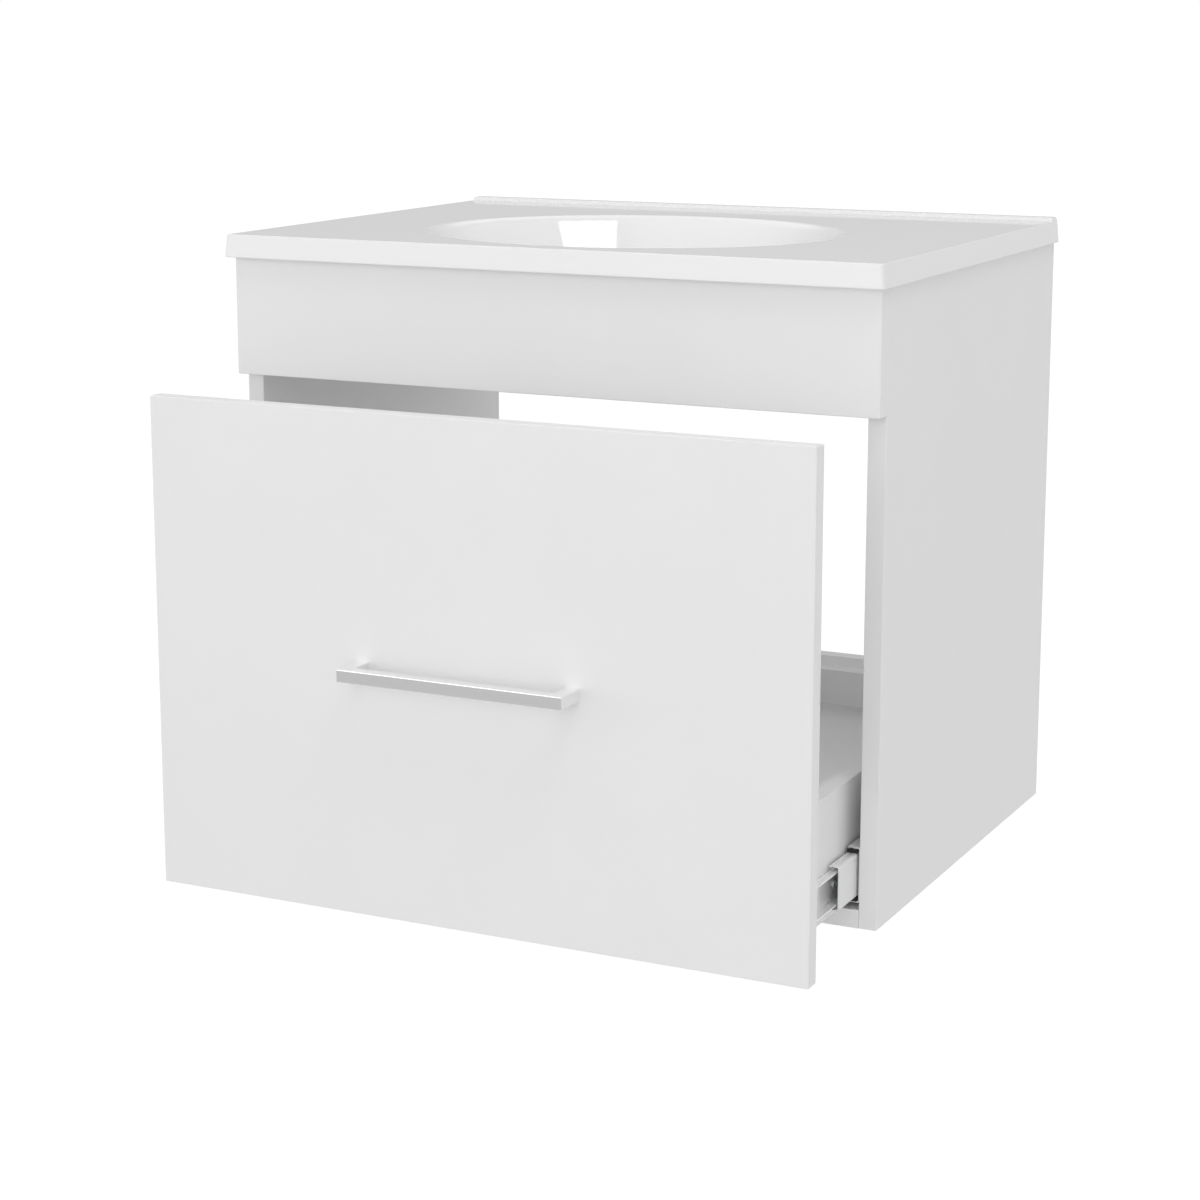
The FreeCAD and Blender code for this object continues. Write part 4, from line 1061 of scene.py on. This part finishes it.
@dataclass
class Studio:
    """Floor, lights, surroundings and camera, in metres.

    Attributes:
        floor_level: Height of the floor.
        floor_size: Its width and depth.
        ambient: Strength of the light from all round.
        wall_tone: Level of the band above the horizon that mirrors see.
        wall_foot: Height of direction at which that band is reached.
        ceiling_span: Heights of direction over which the ceiling comes in.
        glow: How much brighter the left of the ceiling is.
        glow_edge: Direction to the right at which that ends.
        glow_span: Heights of direction over which it comes in.
        lamps: The soft boxes.
        aim: The point that the lamps face.
        eye: Place of the camera.
        azimuth_deg: Turn of the camera about the upright, from the middle plane.
        pitch_deg: Its downward tilt.
        lens_mm: Its focal length.
        sensor_mm: Width of its sensor.
        view_reach: How far it sees.
        shift: Its lens shift, as a share of the frame.
        floor_colour: The floor's colour for the light that it throws back.
        floor_shade: Its colour where it is seen, which carries the shadow.
        floor_glow: Its own light where it is seen.
        floor_mirrored: Its own light in mirrors, in front of the object and behind it.
        floor_span: Y over which the one gives way to the other.
    """

    floor_level: float = -0.781
    floor_size: float = 60.0
    ambient: float = 0.66
    wall_tone: float = 0.61
    wall_foot: float = 0.03
    ceiling_span: Tuple[float, float] = (0.15, 0.6)
    glow: float = 0.7
    glow_edge: float = 0.25
    glow_span: Tuple[float, float] = (0.4, 0.7)
    lamps: Tuple[Lamp, ...] = (
        Lamp("front_soft_box", (0.9, -6.0, 0.9), 57.0, 3.4, 3.4, LampUse.SOFT),
        Lamp("left_soft_box", (-5.0, -3.0, 0.6), 25.0, 2.4, 2.4, LampUse.SOFT),
        Lamp("right_lamp", (5.0, 2.1, 0.6), 9.8, 0.9, 0.9, LampUse.SOFT),
        Lamp("left_card", (-1.9, -4.2, 0.35), 15.5, 3.0, 1.2, LampUse.MIRRORED),
        Lamp("window", (0.93, -1.1, 2.0), 9.0, 1.06, 0.7, LampUse.SOFT),
        Lamp("window_glint", (0.9, -1.06, 1.9), 14.0, 1.01, 0.67, LampUse.MIRRORED),
    )
    aim: Tuple[float, float, float] = (0.0, -0.3, -0.2)
    eye: Tuple[float, float, float] = (0.9848, -2.3323, 0.2635)
    azimuth_deg: float = 26.15
    pitch_deg: float = 11.334
    lens_mm: float = 81.64
    sensor_mm: float = 36.0
    view_reach: float = 100.0
    shift: float = -0.05
    floor_colour: str = "e6e6e6"
    floor_shade: str = "a2a2a2"
    floor_glow: float = 0.8
    floor_mirrored: Tuple[float, float] = (0.23, 0.63)
    floor_span: Tuple[float, float] = (-1.5, 0.3)

    def surroundings(self) -> None:
        """Soft even light from all round.

        The camera sees plain white. Mirrors see white too, with a grey band above the horizon, like the far
        wall of a studio, which gives the flat deck its tone at a low angle. The ceiling they see is brighter
        on the left.
        """
        world = bpy.data.worlds.new("white_studio")
        bpy.context.scene.world = world
        world.use_nodes = True
        tree = world.node_tree
        tree.nodes.clear()
        path = add_node(tree, "ShaderNodeLightPath")
        way = add_node(tree, "ShaderNodeTexCoord")
        parts = add_node(tree, "ShaderNodeSeparateXYZ", {}, {0: way.outputs["Generated"]})
        x, z = parts.outputs["X"], parts.outputs["Z"]
        above = add_node(tree, "ShaderNodeMapRange",
                         {"From Min": 0.0, "From Max": self.wall_foot,
                          "To Min": 1.0, "To Max": self.wall_tone},
                         {"Value": z}, interpolation_type="SMOOTHSTEP")
        ceiling = add_node(tree, "ShaderNodeMapRange",
                           {"From Min": self.ceiling_span[0], "From Max": self.ceiling_span[1]},
                           {"Value": z}, interpolation_type="SMOOTHSTEP")
        left = add_node(tree, "ShaderNodeMapRange",
                        {"From Min": self.glow_edge, "From Max": 0.0, "To Min": 0.0, "To Max": self.glow},
                        {"Value": x}, interpolation_type="SMOOTHSTEP")
        steep = add_node(tree, "ShaderNodeMapRange",
                         {"From Min": self.glow_span[0], "From Max": self.glow_span[1]},
                         {"Value": z}, interpolation_type="SMOOTHSTEP")
        overhead = add_node(tree, "ShaderNodeMath", {},
                            {0: left.outputs[0], 1: steep.outputs[0], 2: ceiling.outputs[0]},
                            operation="MULTIPLY_ADD")
        mirrored = add_node(tree, "ShaderNodeMath", {}, {0: above.outputs[0], 1: overhead.outputs[0]},
                            operation="MAXIMUM")
        direct = add_node(tree, "ShaderNodeMath", {},
                          {0: path.outputs["Is Camera Ray"], 1: path.outputs["Is Transmission Ray"]},
                          operation="MAXIMUM")
        soft = add_node(tree, "ShaderNodeMix", {MIX_FIRST: self.ambient},
                        {MIX_SHARE: path.outputs["Is Glossy Ray"], MIX_SECOND: mirrored.outputs[0]})
        level = add_node(tree, "ShaderNodeMath", {}, {0: soft.outputs[0], 1: direct.outputs[0]},
                         operation="MAXIMUM")
        sky = add_node(tree, "ShaderNodeBackground", {"Color": hex_colour(WHITE)},
                       {"Strength": level.outputs[0]})
        add_node(tree, "ShaderNodeOutputWorld", {}, {"Surface": sky.outputs[0]})

    def floor(self) -> None:
        """A plain pale floor that keeps the object's shadow and is white elsewhere.

        Mirrors see it paler behind the object than in front.
        """
        half = self.floor_size / 2
        corner = np.array([-half, half])
        across, deep = np.meshgrid(corner, corner, indexing="xy")
        points = np.stack([across, deep, np.full_like(across, self.floor_level)], -1)
        piece = grid_mesh("studio_floor", points)
        paint = bpy.data.materials.new("painted_floor")
        paint.use_nodes = True
        tree = paint.node_tree
        tree.nodes.clear()
        path = add_node(tree, "ShaderNodeLightPath")
        straight = add_node(tree, "ShaderNodeMath", {},
                            {0: path.outputs["Is Camera Ray"], 1: path.outputs["Is Transmission Ray"]},
                            operation="MAXIMUM")
        seen = add_node(tree, "ShaderNodeMath", {},
                        {0: straight.outputs[0], 1: path.outputs["Is Glossy Ray"]}, operation="MAXIMUM")
        plain = add_node(tree, "ShaderNodeBsdfDiffuse", {"Color": hex_colour(self.floor_colour)})
        shadow = add_node(tree, "ShaderNodeBsdfDiffuse", {"Color": hex_colour(self.floor_shade)})
        where = add_node(tree, "ShaderNodeTexCoord")
        parts = add_node(tree, "ShaderNodeSeparateXYZ", {}, {0: where.outputs["Object"]})
        fade = add_node(tree, "ShaderNodeMapRange",
                        {"From Min": self.floor_span[0], "From Max": self.floor_span[1],
                         "To Min": self.floor_mirrored[0], "To Max": self.floor_mirrored[1]},
                        {"Value": parts.outputs["Y"]}, interpolation_type="SMOOTHSTEP")
        level = add_node(tree, "ShaderNodeMix", {MIX_SECOND: self.floor_glow},
                         {MIX_SHARE: straight.outputs[0], MIX_FIRST: fade.outputs[0]})
        glow = add_node(tree, "ShaderNodeEmission", {"Color": hex_colour(WHITE)},
                        {"Strength": level.outputs[0]})
        bright = add_node(tree, "ShaderNodeAddShader", {}, {0: shadow.outputs[0], 1: glow.outputs[0]})
        mix = add_node(tree, "ShaderNodeMixShader", {}, {0: seen.outputs[0], 1: plain.outputs[0],
                                                         2: bright.outputs[0]})
        add_node(tree, "ShaderNodeOutputMaterial", {}, {"Surface": mix.outputs[0]})
        piece.data.materials.append(paint)

    def camera(self) -> None:
        """The viewpoint of the photograph."""
        data = bpy.data.cameras.new("camera")
        data.sensor_width = self.sensor_mm
        data.lens = self.lens_mm
        data.shift_y = self.shift
        data.clip_end = self.view_reach
        camera = bpy.data.objects.new("camera", data)
        azimuth, pitch = math.radians(self.azimuth_deg), math.radians(self.pitch_deg)
        ahead = Vector((-math.sin(azimuth) * math.cos(pitch), math.cos(azimuth) * math.cos(pitch),
                        -math.sin(pitch)))
        camera.location = self.eye
        camera.rotation_mode = "QUATERNION"
        camera.rotation_quaternion = ahead.to_track_quat("-Z", "Y")
        bpy.context.scene.collection.objects.link(camera)
        bpy.context.scene.camera = camera

    def build(self) -> None:
        """Set up the whole studio."""
        self.surroundings()
        self.floor()
        for lamp in self.lamps:
            lamp.hang(Vector(self.aim))
        self.camera()
        bpy.context.scene.view_settings.view_transform = "Standard"
        LOG.info("studio is up")


def main() -> None:
    """Build and dress every piece in order."""
    logging.basicConfig(level=logging.INFO, format="%(message)s")
    shop = PaintShop()
    for assembly in (Cabinet(), BasinTop(), Drawer(), BallSlides()):
        assembly.build(shop)
    Studio().build()


if __name__ == "__main__":
    main()
